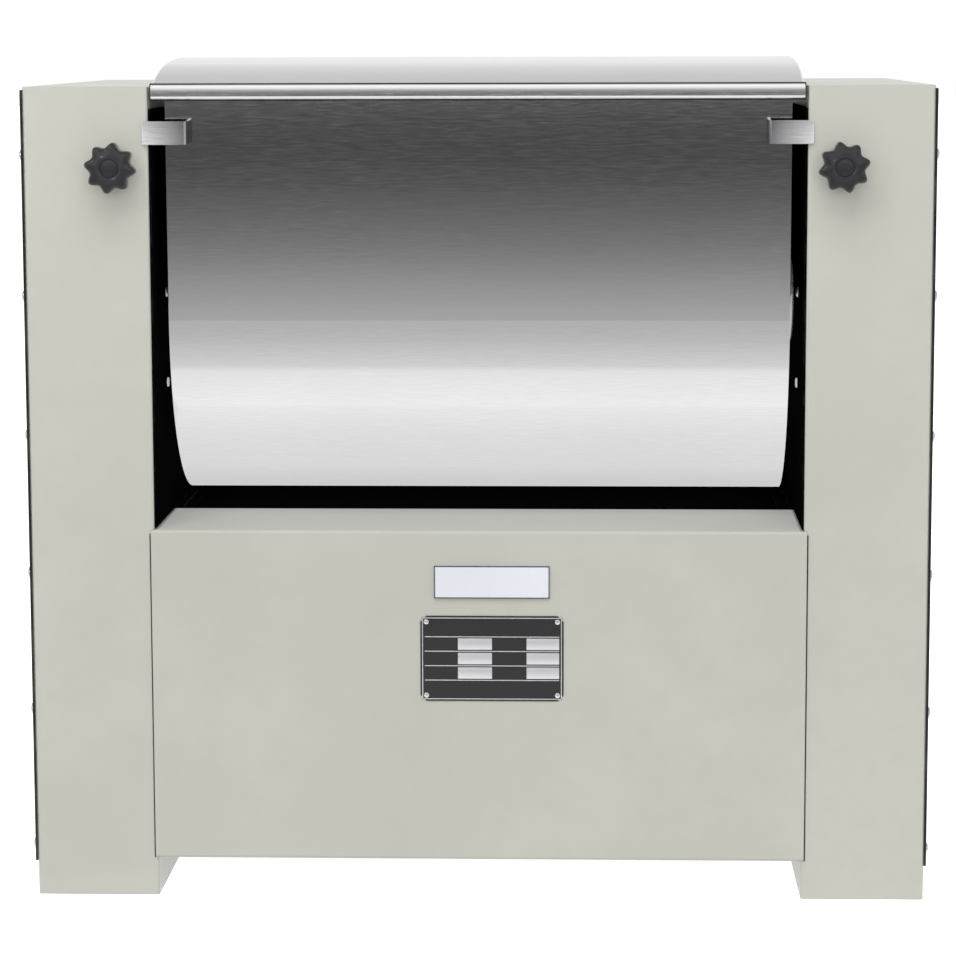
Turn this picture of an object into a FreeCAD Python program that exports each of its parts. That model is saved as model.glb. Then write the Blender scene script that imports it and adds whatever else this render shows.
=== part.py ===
import FreeCAD, Part
import math
import os
import re
import Sketcher

# Tilting horizontal dough mixer: two hollow columns carry a stainless trough that tips forward about
# the line of its own mixing shaft. Millimetres. X runs across the front, the front looks along -Y and
# Z is up. The origin lies on the floor, midway between the sides and midway between the faces of the
# star knobs in front and the tip of the cable gland behind.

# Driving sizes
SIZES = {
    # Columns
    "column_width": 124,
    "column_depth": 560,
    "column_height": 819,
    "column_sheet": 2.5,
    "column_flange": 18,
    "column_corner": 3,
    "inner_width": 652,
    # Side covers and their screws
    "cover_sheet": 2.5,
    "cover_bottom": 35,
    "cover_top_gap": 4,
    "cover_edge_gap": 1,
    "cover_corner": 1.2,
    "screw_edge_gap": 9,
    "screw_first_height": 51,
    "screw_top_gap": 68,
    "screw_rows": 6,
    "screw_head_radius": 6,
    "screw_head_height": 3,
    "screw_clearance": 0.3,
    # Black plates on the inner walls
    "plate_sheet": 2,
    "plate_front_gap": 6,
    "plate_rear_gap": 20,
    "plate_top_gap": 22,
    "plate_floor_gap": 1,
    "plate_screw_depth": 105,
    "plate_screw_rise": 16,
    "plate_screw_drop": 77,
    "plate_screw_rear_gap": 60,
    "plate_screw_radius": 5,
    "plate_screw_height": 2,
    # Front panel with its shelf, deck, rear panel and base frame
    "panel_bottom": 39.3,
    "panel_sheet": 2,
    "panel_overlap": 3,
    "panel_corner": 3,
    "panel_hem": 15,
    "shelf_depth": 154,
    "shelf_lip": 10,
    "fit_gap": 0.3,
    "deck_sheet": 2,
    "deck_tuck": 20,
    "rear_sheet": 2.5,
    "rear_flange": 15,
    "rear_top_gap": 29,
    "vent_width": 90,
    "vent_height": 6,
    "vent_pitch": 32,
    "vent_count": 6,
    "vent_first_height": 120,
    "vent_side_gap": 130,
    "frame_bar": 18,
    "frame_width": 50,
    "frame_inset": 16,
    "frame_cross_width": 46,
    # Trough
    "trough_front_gap": 30,
    "trough_floor_gap": 15.3,
    "axis_drop": 227,
    "trough_radius": 200,
    "trough_taper": 2,
    "trough_rim": 230.5,
    "trough_rim_flange": 11,
    "trough_sheet": 3,
    "trough_side_gap": 14.5,
    "hub_barrel_radius": 56,
    "hub_reach": 12,
    "running_gap": 0.08,
    "lug_width": 23,
    "lug_rim_gap": 37.5,
    "lug_sheet": 3,
    "lug_inner_gap": 38.5,
    "lug_overlap": 5,
    "lug_bend": 2,
    # Lid
    "lid_side_gap": 4.5,
    "lid_sheet": 1.8,
    "lid_corner_rise": 0.3207,
    "lid_crown_radius": 1500,
    "lid_crown_half": 130,
    "lid_shoulder_radius": 520,
    "lid_skirt_gap": 5,
    "lid_skirt": 16,
    "lid_edge": 2,
    "hinge_pin_radius": 4,
    "hinge_knuckle_radius": 7.5,
    "hinge_pin_drop": 6,
    "hinge_leaf": 2.5,
    "hinge_place": 220,
    "hinge_width": 80,
    # Sleeves on which the trough turns, and bearing units for the shaft inside them
    "shaft_radius": 17.5,
    "sleeve_radius": 45,
    "sleeve_bore_radius": 25,
    "sleeve_overhang": 1,
    "sleeve_flange": 156,
    "sleeve_flange_thickness": 10,
    "unit_width": 110,
    "unit_thickness": 12,
    "collar_radius": 24,
    "collar_length": 20,
    "retainer_radius": 28,
    "retainer_thickness": 4,
    "retainer_head_radius": 11,
    "retainer_head_height": 6,
    "press_gap": 0.02,
    "housing_bolt_radius": 8,
    "housing_bolt_height": 7,
    "housing_bolt_place": 62,
    # Agitator
    "agitator_wall_gap": 13,
    "agitator_end_gap": 8.5,
    "agitator_blade_thickness": 13,
    "agitator_blade_width": 34,
    "agitator_arm_width": 26,
    "agitator_arm_thickness": 18,
    "agitator_hub_radius": 26,
    # Gear train
    "gear_module": 6,
    "gear_teeth": 55,
    "pinion_teeth": 11,
    "gear_width": 30,
    "gear_gap": 2.5,
    "pinion_overhang": 1,
    "gear_hub": 40,
    "gear_spoke": 34,
    "gear_rim": 14,
    "gear_backlash": 0.8,
    "mesh_angle": 60,
    "counter_radius": 12.5,
    "counter_unit_width": 76,
    "counter_unit_thickness": 12,
    "cross_bar_thickness": 8,
    "cross_bar_height": 100,
    "cross_bar_cover_gap": 5,
    "cross_bar_hole": 16,
    # Belt drive and motor
    "pulley_gap": 3,
    "pulley_width": 34,
    "pulley_hub": 32,
    "pulley_spoke": 28,
    "driven_pulley_radius": 140,
    "motor_pulley_radius": 32,
    "belt_width": 28,
    "belt_thickness": 4,
    "belt_gap": 0.1,
    "pulley_rim": 16,
    "motor_depth": 330,
    "motor_place": 16,
    "motor_length": 235,
    "motor_radius": 76,
    "motor_fin_height": 9,
    "motor_fin_thickness": 3.5,
    "motor_fin_count": 12,
    "motor_nose_radius": 46,
    "motor_shield_length": 34,
    "motor_shaft_radius": 12,
    "motor_foot_width": 30,
    "motor_foot_gap": 5,
    "motor_foot_spread": 140,
    "motor_foot_height": 14,
    "motor_hole_gap": 6,
    "fan_cover_length": 58,
    "fan_cover_sheet": 1.6,
    "fan_radius": 64,
    "terminal_length": 96,
    "terminal_width": 88,
    "terminal_height": 42,
    # Star knobs
    "knob_inset": 33.5,
    "knob_drop": 79,
    "knob_radius": 25,
    "knob_core_radius": 20.6,
    "knob_lobe_radius": 6.6,
    "knob_lobes": 8,
    "knob_turn_left": -6.5,
    "knob_turn_right": 10,
    "knob_head": 20,
    "knob_reach": 38,
    "knob_hub_radius": 13,
    "knob_edge": 2,
    "stud_radius": 5,
    "stud_hold": 16,
    "stud_neck": 10,
    "nut_flats": 17,
    "nut_thickness": 10,
    # Plates on the front panel
    "badge_drop": 51.7,
    "rating_drop": 129.7,
    "badge_width": 116,
    "badge_height": 33,
    "badge_thickness": 2.5,
    "badge_corner": 2,
    "plate_centre_offset": 14,
    "rating_width": 144,
    "rating_height": 87,
    "rating_thickness": 1,
    "rating_corner": 6,
    "rivet_radius": 2.6,
    "rivet_height": 1.2,
    "rivet_inset": 6,
    # Recessed switch panel in the left cover
    "switch_drop": 129,
    "switch_depth": 120,
    "switch_width": 64,
    "switch_tall": 124,
    "switch_recess": 17,
    "switch_sheet": 1.5,
    "switch_rim": 8,
    "button_radius": 11,
    "button_reach": 12,
    "button_pitch": 56,
    "button_ring_radius": 16,
    "button_ring_height": 6,
    "button_travel": 4,
    "button_stem_width": 8,
    "button_stem_length": 8,
    "switch_block_width": 30,
    "switch_block_length": 38,
    # Cable gland
    "gland_reach": 22,
    "gland_bore_radius": 4.5,
    "gland_thread_radius": 8,
    "gland_flats": 22,
    "gland_nut_thickness": 8,
    "gland_thread_end": 1,
    "gland_offset": 220,
    "gland_height": 96,
}

document = FreeCAD.newDocument("dough_mixer")
sheet = document.addObject("Spreadsheet::Sheet", "Sizes")
for row, (alias, number) in enumerate(SIZES.items(), start=1):
    sheet.set(f"A{row}", alias)
    sheet.set(f"B{row}", str(number))
    sheet.setAlias(f"B{row}", alias)
document.recompute()

# Places that several pieces share, as formulas on the sheet
FRONT = "(-(column_depth + gland_reach - knob_reach) / 2)"
REAR = f"({FRONT} + column_depth)"
HALF_GAP = "(inner_width / 2)"
WALL = f"({HALF_GAP} + column_sheet)"
OUTSIDE = f"({HALF_GAP} + column_width)"
AXIS_DEPTH = "(trough_radius + trough_front_gap)"
AXIS_Y = f"({FRONT} + {AXIS_DEPTH})"
AXIS_Z = "(column_height - axis_drop)"
PANEL_TOP = f"({AXIS_Z} - trough_radius - trough_floor_gap)"
TROUGH_END = f"({HALF_GAP} - trough_side_gap)"
DECK_TOP = f"({PANEL_TOP} - shelf_lip)"
GEAR_DISTANCE = "(gear_module * (gear_teeth + pinion_teeth) / 2)"
COUNTER_Y = f"({AXIS_Y} + {GEAR_DISTANCE} * cos(mesh_angle))"
COUNTER_Z = f"({AXIS_Z} - {GEAR_DISTANCE} * sin(mesh_angle))"
FRAME_TOP = "(panel_bottom + panel_sheet + frame_bar)"
MOTOR_Y = f"({FRONT} + motor_depth)"
MOTOR_RISE = "(motor_radius + motor_fin_height + motor_foot_gap)"
MOTOR_Z = f"({FRAME_TOP} + {MOTOR_RISE})"
MOTOR_FACE = f"({HALF_GAP} + motor_place)"
UNIT_FACE = f"({WALL} + sleeve_flange_thickness + unit_thickness)"
PULLEY_X = f"({UNIT_FACE} + pulley_gap)"
CROSS_BAR_X = f"({OUTSIDE} - cross_bar_cover_gap - cross_bar_thickness)"
GEAR_X = f"({CROSS_BAR_X} - counter_unit_thickness - gear_gap - gear_width)"
SWITCH_Y = f"({FRONT} + switch_depth)"
SWITCH_Z = "(column_height - switch_drop)"
KNOB_X = f"({HALF_GAP} + knob_inset)"
KNOB_Z = "(column_height - knob_drop)"
SLEEVE_TIP = f"({TROUGH_END} - trough_sheet - hub_reach - sleeve_overhang)"

SIDES = {"left": -1, "right": 1}
Vector = FreeCAD.Vector
Z_TO_X = FreeCAD.Rotation(Vector(0, 1, 0), 90)
X_TO_Y = FreeCAD.Rotation(Vector(1, 0, 0), Vector(0, 1, 0))
X_TO_MINUS_Y = FreeCAD.Rotation(Vector(1, 0, 0), Vector(0, -1, 0))
NODES = []


# Helpers for formulas

def words(text):
    """Point every size named in a formula at the sheet."""
    return re.sub(r"\b([a-z]+(?:_[a-z]+)+)\b", r"Sizes.\1", str(text))


def value(text):
    """Work a formula out now."""
    return float(sheet.evalExpression(words(text)))


def bind(thing, prop, text):
    """Tie one property to a formula."""
    thing.setExpression(prop, words(text))


def place(thing, x=0, y=0, z=0, turn=None):
    """Stand a piece at three formulas, turned if asked."""
    if turn is not None:
        thing.Placement = FreeCAD.Placement(Vector(), turn)
    for axis, text in zip("xyz", (x, y, z)):
        bind(thing, f".Placement.Base.{axis}", text)
    return thing


def keep(thing, label):
    """Name a finished sub-part and remember to write it."""
    thing.Label = label
    NODES.append(thing)
    return thing


# Helpers for bodies and sketches

def new_body(name):
    return document.addObject("PartDesign::Body", name)


def origin_part(body, role):
    return next(item for item in body.Origin.OriginFeatures if item.Role == role)


def new_sketch(body, role, offset=0):
    """Attach a sketch to one of the body's own planes, moved along its normal."""
    sketch = body.newObject("Sketcher::SketchObject", f"{body.Name}_sketch")
    sketch.AttachmentSupport = [(origin_part(body, role), "")]
    sketch.MapMode = "FlatFace"
    bind(sketch, ".AttachmentOffset.Base.z", offset)
    return sketch


def pin_point(sketch, item, point, x, y):
    """Hold one point of a sketch at a place given by two formulas."""
    for kind, text in (("DistanceX", x), ("DistanceY", y)):
        rule = Sketcher.Constraint(kind, -1, 1, item, point, value(text))
        number = sketch.addConstraint(rule)
        sketch.setExpression(f"Constraints[{number}]", words(text))


def bind_radius(sketch, item, radius):
    number = sketch.addConstraint(Sketcher.Constraint("Radius", item, value(radius)))
    sketch.setExpression(f"Constraints[{number}]", words(radius))


def arc_between(start, end, radius, left):
    """Draw the short arc from start to end that turns left or right."""
    chord = end - start
    reach = math.sqrt(max(radius ** 2 - chord.Length ** 2 / 4, 0))
    across = Vector(-chord.y, chord.x, 0).normalize()
    centre = (start + end) / 2 + across * (reach if left else -reach)
    first, last = (start, end) if left else (end, start)
    low = math.atan2(first.y - centre.y, first.x - centre.x)
    high = math.atan2(last.y - centre.y, last.x - centre.x)
    return Part.ArcOfCircle(Part.Circle(centre, Vector(0, 0, 1), radius), low, high)


def outline(sketch, points):
    """Draw a closed profile. A point is (x, y), or (x, y, radius, "left" or "right") where an arc
    arrives at it; the first point's arc closes the profile."""
    first_item = len(sketch.Geometry)
    edges = []
    for index, here in enumerate(points):
        there = points[(index + 1) % len(points)]
        start = Vector(value(here[0]), value(here[1]), 0)
        end = Vector(value(there[0]), value(there[1]), 0)
        if len(there) == 2:
            item = sketch.addGeometry(Part.LineSegment(start, end), False)
            edges.append((item, 1, 2, None))
        else:
            left = there[3] == "left"
            item = sketch.addGeometry(arc_between(start, end, value(there[2]), left), False)
            edges.append((item, 1 if left else 2, 2 if left else 1, there[2]))
    for index, (item, start_point, end_point, radius) in enumerate(edges):
        following = edges[(index + 1) % len(edges)]
        sketch.addConstraint(Sketcher.Constraint("Coincident", item, end_point, following[0], following[1]))
        pin_point(sketch, item, start_point, points[index][0], points[index][1])
        if radius is not None:
            bind_radius(sketch, item, radius)
    return first_item


def rectangle(sketch, left, bottom, right, top):
    outline(sketch, [(left, bottom), (right, bottom), (right, top), (left, top)])


def circle(sketch, x, y, radius):
    shape = Part.Circle(Vector(value(x), value(y), 0), Vector(0, 0, 1), value(radius))
    item = sketch.addGeometry(shape, False)
    pin_point(sketch, item, 3, x, y)
    bind_radius(sketch, item, radius)


def pad(body, sketch, length, symmetric=False, back=False):
    feature = body.newObject("PartDesign::Pad", f"{body.Name}_pad")
    feature.Profile = sketch
    feature.SideType = "Symmetric" if symmetric else "One side"
    feature.Reversed = back
    bind(feature, "Length", length)
    document.recompute()
    return feature


def must_cut(body, before):
    """A cut that points away from the solid would pass unseen, so the volume is compared."""
    document.recompute()
    if not body.Shape.Volume < before - 0.01:
        raise RuntimeError(f"{body.Name}: a cut took nothing away")


def pocket(body, sketch, length, symmetric=False, back=False):
    before = body.Shape.Volume
    feature = body.newObject("PartDesign::Pocket", f"{body.Name}_pocket")
    feature.Profile = sketch
    feature.SideType = "Symmetric" if symmetric else "One side"
    feature.Reversed = back
    bind(feature, "Length", length)
    must_cut(body, before)
    return feature


def revolve(body, sketch, axis="H_Axis"):
    feature = body.newObject("PartDesign::Revolution", f"{body.Name}_revolution")
    feature.Profile = sketch
    feature.ReferenceAxis = (sketch, [axis])
    feature.Angle = 360
    document.recompute()
    return feature


def box_feature(body, kind, low, high):
    """Add or take away a box between two corners given by formulas."""
    before = body.Shape.Volume if kind == "Subtractive" else 0
    feature = body.newObject(f"PartDesign::{kind}Box", f"{body.Name}_{kind.lower()}_box")
    for prop, start, end in zip(("Length", "Width", "Height"), low, high):
        bind(feature, prop, f"({end}) - ({start})")
    place(feature, *low)
    document.recompute()
    if kind == "Subtractive":
        must_cut(body, before)
    return feature


def cylinder_feature(body, kind, turn, x, y, z, radius, height):
    """Add or take away a cylinder that starts at x, y, z and points the way turn sends Z."""
    before = body.Shape.Volume if kind == "Subtractive" else 0
    feature = body.newObject(f"PartDesign::{kind}Cylinder", f"{body.Name}_{kind.lower()}_cylinder")
    bind(feature, "Radius", radius)
    bind(feature, "Height", height)
    place(feature, x, y, z, turn)
    document.recompute()
    if kind == "Subtractive":
        must_cut(body, before)
    return feature


def edges_where(feature, test):
    """Name the edges of a feature that pass a test."""
    edges = feature.Shape.Edges
    return [f"Edge{number}" for number, edge in enumerate(edges, start=1) if test(edge)]


def runs_along(edge, axis):
    """True for a straight edge along one axis."""
    if not isinstance(edge.Curve, Part.Line):
        return False
    return abs(getattr(edge.Curve.Direction, axis)) > 0.999


def round_off(body, feature, radius, test):
    rounding = body.newObject("PartDesign::Fillet", f"{body.Name}_fillet")
    rounding.Base = (feature, edges_where(feature, test))
    bind(rounding, "Radius", radius)
    document.recompute()
    return rounding


def bevel(body, feature, width, test):
    cut = body.newObject("PartDesign::Chamfer", f"{body.Name}_chamfer")
    cut.Base = (feature, edges_where(feature, test))
    bind(cut, "Size", width)
    document.recompute()
    return cut


def polar(body, feature, role, count):
    pattern = body.newObject("PartDesign::PolarPattern", f"{body.Name}_polar")
    pattern.Originals = [feature]
    pattern.Axis = (origin_part(body, role), [""])
    pattern.Angle = 360
    bind(pattern, "Occurrences", count)
    body.Tip = pattern
    document.recompute()
    return pattern


def in_line(body, feature, role, pitch, count):
    pattern = body.newObject("PartDesign::LinearPattern", f"{body.Name}_row")
    pattern.Originals = [feature]
    pattern.Direction = (origin_part(body, role), [""])
    bind(pattern, "Length", f"({pitch}) * ({count} - 1)")
    bind(pattern, "Occurrences", count)
    body.Tip = pattern
    document.recompute()
    return pattern


def solids_node(name, solids):
    """Hold several separate solids, worked out from the sheet, as one sub-part."""
    node = document.addObject("Part::Feature", name)
    node.Shape = Part.makeCompound(solids) if len(solids) > 1 else solids[0]
    return keep(node, name)


def bar(sides, radius, start, end, y=0, z=0):
    """A straight-sided round bar along X."""
    corners = []
    for step in range(sides):
        angle = math.pi * (2 * step + 1) / sides
        corners.append(Vector(start, y + radius * math.cos(angle), z + radius * math.sin(angle)))
    return Part.Face(Part.makePolygon(corners + corners[:1])).extrude(Vector(end - start, 0, 0))


def joined_rings(first, second):
    """The solid between two outlines with the same number of corners."""
    faces = [Part.Face(Part.makePolygon(ring + ring[:1])) for ring in (first, second)]
    for step in range(len(first)):
        after = (step + 1) % len(first)
        corners = [first[step], first[after], second[after], second[step]]
        faces.append(Part.Face(Part.makePolygon(corners + corners[:1])))
    solid = Part.makeSolid(Part.makeShell(faces))
    if solid.Volume < 0:
        solid.reverse()
    return solid


def taper(sides, start, radius, end, end_radius):
    """A straight-sided cone along X."""
    rings = []
    for x, reach in ((start, radius), (end, end_radius)):
        angles = [math.pi * (2 * step + 1) / sides for step in range(sides)]
        rings.append([Vector(x, reach * math.cos(angle), reach * math.sin(angle)) for angle in angles])
    return joined_rings(*rings)


def finned_bar(count, radius, tip, thickness, start, end):
    """A bar along X with straight fins all round it."""
    half = thickness / 2
    corners = []
    for step in range(count):
        middle = 2 * math.pi * step / count
        for reach, side in ((radius, -1), (tip, -1), (tip, 1), (radius, 1)):
            angle = middle + side * math.asin(half / reach)
            corners.append(Vector(start, reach * math.cos(angle), reach * math.sin(angle)))
    return Part.Face(Part.makePolygon(corners + corners[:1])).extrude(Vector(end - start, 0, 0))


def along_x(start, end, radius, y=0, z=0):
    return Part.makeCylinder(radius, end - start, Vector(start, y, z), Vector(1, 0, 0))


def bored(wheel, width, radius):
    """Cut a straight-sided bore along X that just clears a pressed-in shaft."""
    sides = 12
    return wheel.cut(bar(sides, value(f"{radius} + press_gap") / math.cos(math.pi / sides), 0, width))


def box_between(low, high):
    size = high - low
    return Part.makeBox(size.x, size.y, size.z, low)


def square_block(start, end, width, y=0, z=0):
    half = width / 2
    return box_between(Vector(start, y - half, z - half), Vector(end, y + half, z + half))


def spread(sign, near, far):
    """Two distances from the middle of the machine, as low and high X on one side of it."""
    return sorted((sign * value(near), sign * value(far)))


def shape_node(name, shape, x, y, z, turn=None):
    """A solid worked out round its own origin, stood at three formulas."""
    node = document.addObject("Part::Feature", name)
    node.Shape = shape
    place(node, x, y, z, turn)
    return keep(node, name)


def head(spot, direction, sides, radius, height):
    """The head of a screw or bolt that seats at a spot and looks along a direction."""
    solid = bar(sides, radius, 0, height)
    solid.Placement = FreeCAD.Placement(spot, FreeCAD.Rotation(Vector(1, 0, 0), direction))
    return solid


def polygon(sides, x, y, radius):
    """Corners of a straight-sided circle, as formulas for a sketch."""
    angles = [180 * (2 * step + 1) / sides for step in range(sides)]
    return [(f"{x} + ({radius}) * cos({angle})", f"{y} + ({radius}) * sin({angle})") for angle in angles]


# Columns, side covers and what screws to them

def column(side):
    """A folded sheet box, open on its outer side inside a screw flange. Local origin: the inner,
    front, lower corner."""
    sign = SIDES[side]
    body = new_body(f"{side}_column")
    sketch = new_sketch(body, "XY_Plane")
    rectangle(sketch, "0", "0", f"{sign} * column_width", "column_depth")
    block = pad(body, sketch, "column_height")
    round_off(body, block, "column_corner", lambda edge: runs_along(edge, "z") and edge.CenterOfMass.y < 0.1)
    inner = sorted([f"{sign} * column_sheet", f"{sign} * (column_width - column_sheet)"], key=value)
    box_feature(body, "Subtractive", (inner[0], "column_sheet", "column_sheet"),
                (inner[1], "column_depth - column_sheet", "column_height - column_sheet"))
    mouth = sorted([f"{sign} * (column_width - 2 * column_sheet)", f"{sign} * (column_width + column_sheet)"],
                   key=value)
    box_feature(body, "Subtractive", (mouth[0], "column_flange", "column_flange"),
                (mouth[1], "column_depth - column_flange", "column_height - column_flange"))
    hole_start = f"{sign} * column_sheet / 2 - column_sheet"
    cylinder_feature(body, "Subtractive", Z_TO_X, hole_start, AXIS_DEPTH, AXIS_Z,
                     "sleeve_radius + fit_gap", "2 * column_sheet")
    half = "(stud_neck / 2 + screw_clearance)"
    box_feature(body, "Subtractive",
                (f"{sign} * knob_inset - {half}", "-column_sheet", f"{KNOB_Z} - {half}"),
                (f"{sign} * knob_inset + {half}", "2 * column_sheet", f"{KNOB_Z} + {half}"))
    if side == "right":
        room = "(motor_radius + motor_fin_height + motor_hole_gap)"
        box_feature(body, "Subtractive", (hole_start, f"motor_depth - {room}", f"{MOTOR_Z} - {room}"),
                    (f"{hole_start} + 2 * column_sheet", f"motor_depth + {room}", f"{MOTOR_Z} + {room}"))
    place(body, f"{sign} * {HALF_GAP}", FRONT, 0)
    keep(body, body.Name)


def side_cover(side):
    """A flat pan cover screwed over the open side. Local origin as its column."""
    sign = SIDES[side]
    body = new_body(f"{side}_side_cover")
    sketch = new_sketch(body, "YZ_Plane", f"{sign} * column_width")
    rectangle(sketch, "cover_edge_gap", "cover_bottom", "column_depth - cover_edge_gap",
              "column_height - cover_top_gap")
    slab = pad(body, sketch, "cover_sheet", back=sign < 0)
    outer = f"{sign} * (column_width + cover_sheet)"
    outer_place = value(outer)
    bevel(body, slab, "cover_corner", lambda edge: abs(edge.CenterOfMass.x - outer_place) < 0.01)
    if side == "left":
        window = new_sketch(body, "YZ_Plane", outer)
        rectangle(window, "switch_depth - switch_width / 2", f"{SWITCH_Z} - switch_tall / 2",
                  "switch_depth + switch_width / 2", f"{SWITCH_Z} + switch_tall / 2")
        pocket(body, window, "cover_sheet", back=True)
    place(body, f"{sign} * {HALF_GAP}", FRONT, 0)
    keep(body, body.Name)


def side_cover_screws():
    """Two rows of screws on each cover, front and rear, evenly spaced from foot to top."""
    rows = int(value("screw_rows"))
    pitch = value("column_height - screw_first_height - screw_top_gap") / (rows - 1)
    solids = []
    for sign in SIDES.values():
        x = sign * value(f"{OUTSIDE} + cover_sheet")
        for depth in ("screw_edge_gap", "column_depth - screw_edge_gap"):
            for step in range(rows):
                spot = Vector(x, value(f"{FRONT} + {depth}"), value("screw_first_height") + pitch * step)
                solids.append(head(spot, Vector(sign, 0, 0), 6, value("screw_head_radius"),
                                   value("screw_head_height")))
    solids_node("side_cover_screws", solids)


def inner_plate(side):
    """A black plate on the wall that faces the trough. Local origin as its column."""
    sign = SIDES[side]
    body = new_body(f"{side}_inner_plate")
    sketch = new_sketch(body, "YZ_Plane")
    rectangle(sketch, "plate_front_gap", f"{PANEL_TOP} + plate_floor_gap",
              "column_depth - plate_rear_gap", "column_height - plate_top_gap")
    outline(sketch, polygon(16, AXIS_DEPTH, AXIS_Z, "(sleeve_radius + fit_gap) / cos(11.25)"))
    pad(body, sketch, "plate_sheet", back=sign > 0)
    place(body, f"{sign} * {HALF_GAP}", FRONT, 0)
    keep(body, body.Name)


def inner_plate_screws():
    solids = []
    for sign in SIDES.values():
        for depth in ("plate_screw_depth", "column_depth - plate_screw_rear_gap"):
            for height in (f"{AXIS_Z} + plate_screw_rise", f"{AXIS_Z} - plate_screw_drop"):
                spot = Vector(sign * value(f"{HALF_GAP} - plate_sheet"), value(f"{FRONT} + {depth}"),
                              value(height))
                solids.append(head(spot, Vector(-sign, 0, 0), 6, value("plate_screw_radius"),
                                   value("plate_screw_height")))
    solids_node("inner_plate_screws", solids)


# Sheet metal between the columns

def front_panel():
    """One bent sheet: hem, face and the shelf in front of the trough. Local origin: the plane of the
    columns' front faces."""
    body = new_body("front_panel")
    sketch = new_sketch(body, "YZ_Plane")
    gauge = "panel_sheet"
    outline(sketch, [
        (f"-{gauge}", "panel_bottom"), ("panel_hem", "panel_bottom"),
        ("panel_hem", f"panel_bottom + {gauge}"), ("0", f"panel_bottom + {gauge}"),
        ("0", f"{PANEL_TOP} - {gauge}"), (f"shelf_depth - {gauge}", f"{PANEL_TOP} - {gauge}"),
        (f"shelf_depth - {gauge}", DECK_TOP), ("shelf_depth", DECK_TOP),
        ("shelf_depth", PANEL_TOP), (f"-{gauge}", PANEL_TOP),
    ])
    sheet_pad = pad(body, sketch, "inner_width + 2 * panel_overlap", symmetric=True)
    corners = [(value("-panel_sheet"), value("panel_bottom")), (value("-panel_sheet"), value(PANEL_TOP)),
               (value("shelf_depth"), value(PANEL_TOP))]
    is_bend = lambda edge: runs_along(edge, "x") and any(
        abs(edge.CenterOfMass.y - y) < 0.01 and abs(edge.CenterOfMass.z - z) < 0.01 for y, z in corners)
    round_off(body, sheet_pad, "panel_corner", is_bend)
    for sign in SIDES.values():
        sides = sorted([f"{sign} * ({HALF_GAP} - fit_gap)", f"{sign} * ({HALF_GAP} + 2 * panel_overlap)"],
                       key=value)
        box_feature(body, "Subtractive", (sides[0], "0", "panel_bottom - panel_sheet"),
                    (sides[1], "shelf_depth + panel_sheet", f"{PANEL_TOP} + panel_sheet"))
    place(body, 0, FRONT, 0)
    keep(body, body.Name)


def base_deck():
    """The dark plate under the trough, from the shelf back to the rear panel."""
    deck = document.addObject("Part::Box", "base_deck")
    side_gap = "(rear_sheet + fit_gap)"
    bind(deck, "Length", f"inner_width - 2 * {side_gap}")
    bind(deck, "Width", "column_depth - shelf_depth + deck_tuck - rear_sheet - fit_gap")
    bind(deck, "Height", "deck_sheet")
    place(deck, f"-{HALF_GAP} + {side_gap}", f"{FRONT} + shelf_depth - deck_tuck", f"{DECK_TOP} - deck_sheet")
    keep(deck, deck.Name)


def rear_panel():
    """A pan between the columns with vents low down. Local origin: its outer face, on the floor."""
    body = new_body("rear_panel")
    sketch = new_sketch(body, "XY_Plane", "panel_bottom")
    half = HALF_GAP
    outline(sketch, [
        (f"-{half}", "0"), (f"-{half}", "-rear_flange"), (f"-{half} + rear_sheet", "-rear_flange"),
        (f"-{half} + rear_sheet", "-rear_sheet"), (f"{half} - rear_sheet", "-rear_sheet"),
        (f"{half} - rear_sheet", "-rear_flange"), (half, "-rear_flange"), (half, "0"),
    ])
    pad(body, sketch, "column_height - rear_top_gap - panel_bottom")
    for sign in SIDES.values():
        vent = new_sketch(body, "XZ_Plane")
        middle = f"{sign} * vent_side_gap"
        rectangle(vent, f"{middle} - vent_width / 2", "vent_first_height",
                  f"{middle} + vent_width / 2", "vent_first_height + vent_height")
        slot = pocket(body, vent, "4 * rear_sheet", symmetric=True)
        in_line(body, slot, "Z_Axis", "vent_pitch", "vent_count")
    hole = new_sketch(body, "XZ_Plane")
    outline(hole, polygon(12, "-gland_offset", "gland_height", "gland_thread_radius"))
    pocket(body, hole, "4 * rear_sheet", symmetric=True)
    place(body, 0, REAR, 0)
    keep(body, body.Name)


def base_frame():
    """A welded frame of flat bars that ties the columns and carries the motor."""
    body = new_body("base_frame")
    sketch = new_sketch(body, "XY_Plane", f"{FRAME_TOP} - frame_bar")
    near = "frame_inset"
    far = "column_depth - frame_inset"
    rectangle(sketch, f"-{HALF_GAP}", near, HALF_GAP, far)
    window_near = "frame_inset + frame_width"
    window_far = "column_depth - frame_inset - frame_width"
    foot = f"({MOTOR_FACE} - motor_length / 2)"
    bars = [f"{foot} - motor_foot_spread / 2", f"{foot} + motor_foot_spread / 2"]
    edges = [f"-{HALF_GAP} + frame_width", f"{bars[0]} - frame_cross_width / 2",
             f"{bars[0]} + frame_cross_width / 2", f"{bars[1]} - frame_cross_width / 2"]
    rectangle(sketch, edges[0], window_near, edges[1], window_far)
    rectangle(sketch, edges[2], window_near, edges[3], window_far)
    pad(body, sketch, "frame_bar")
    place(body, 0, FRONT, 0)
    keep(body, body.Name)


# Motor and belt drive

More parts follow.
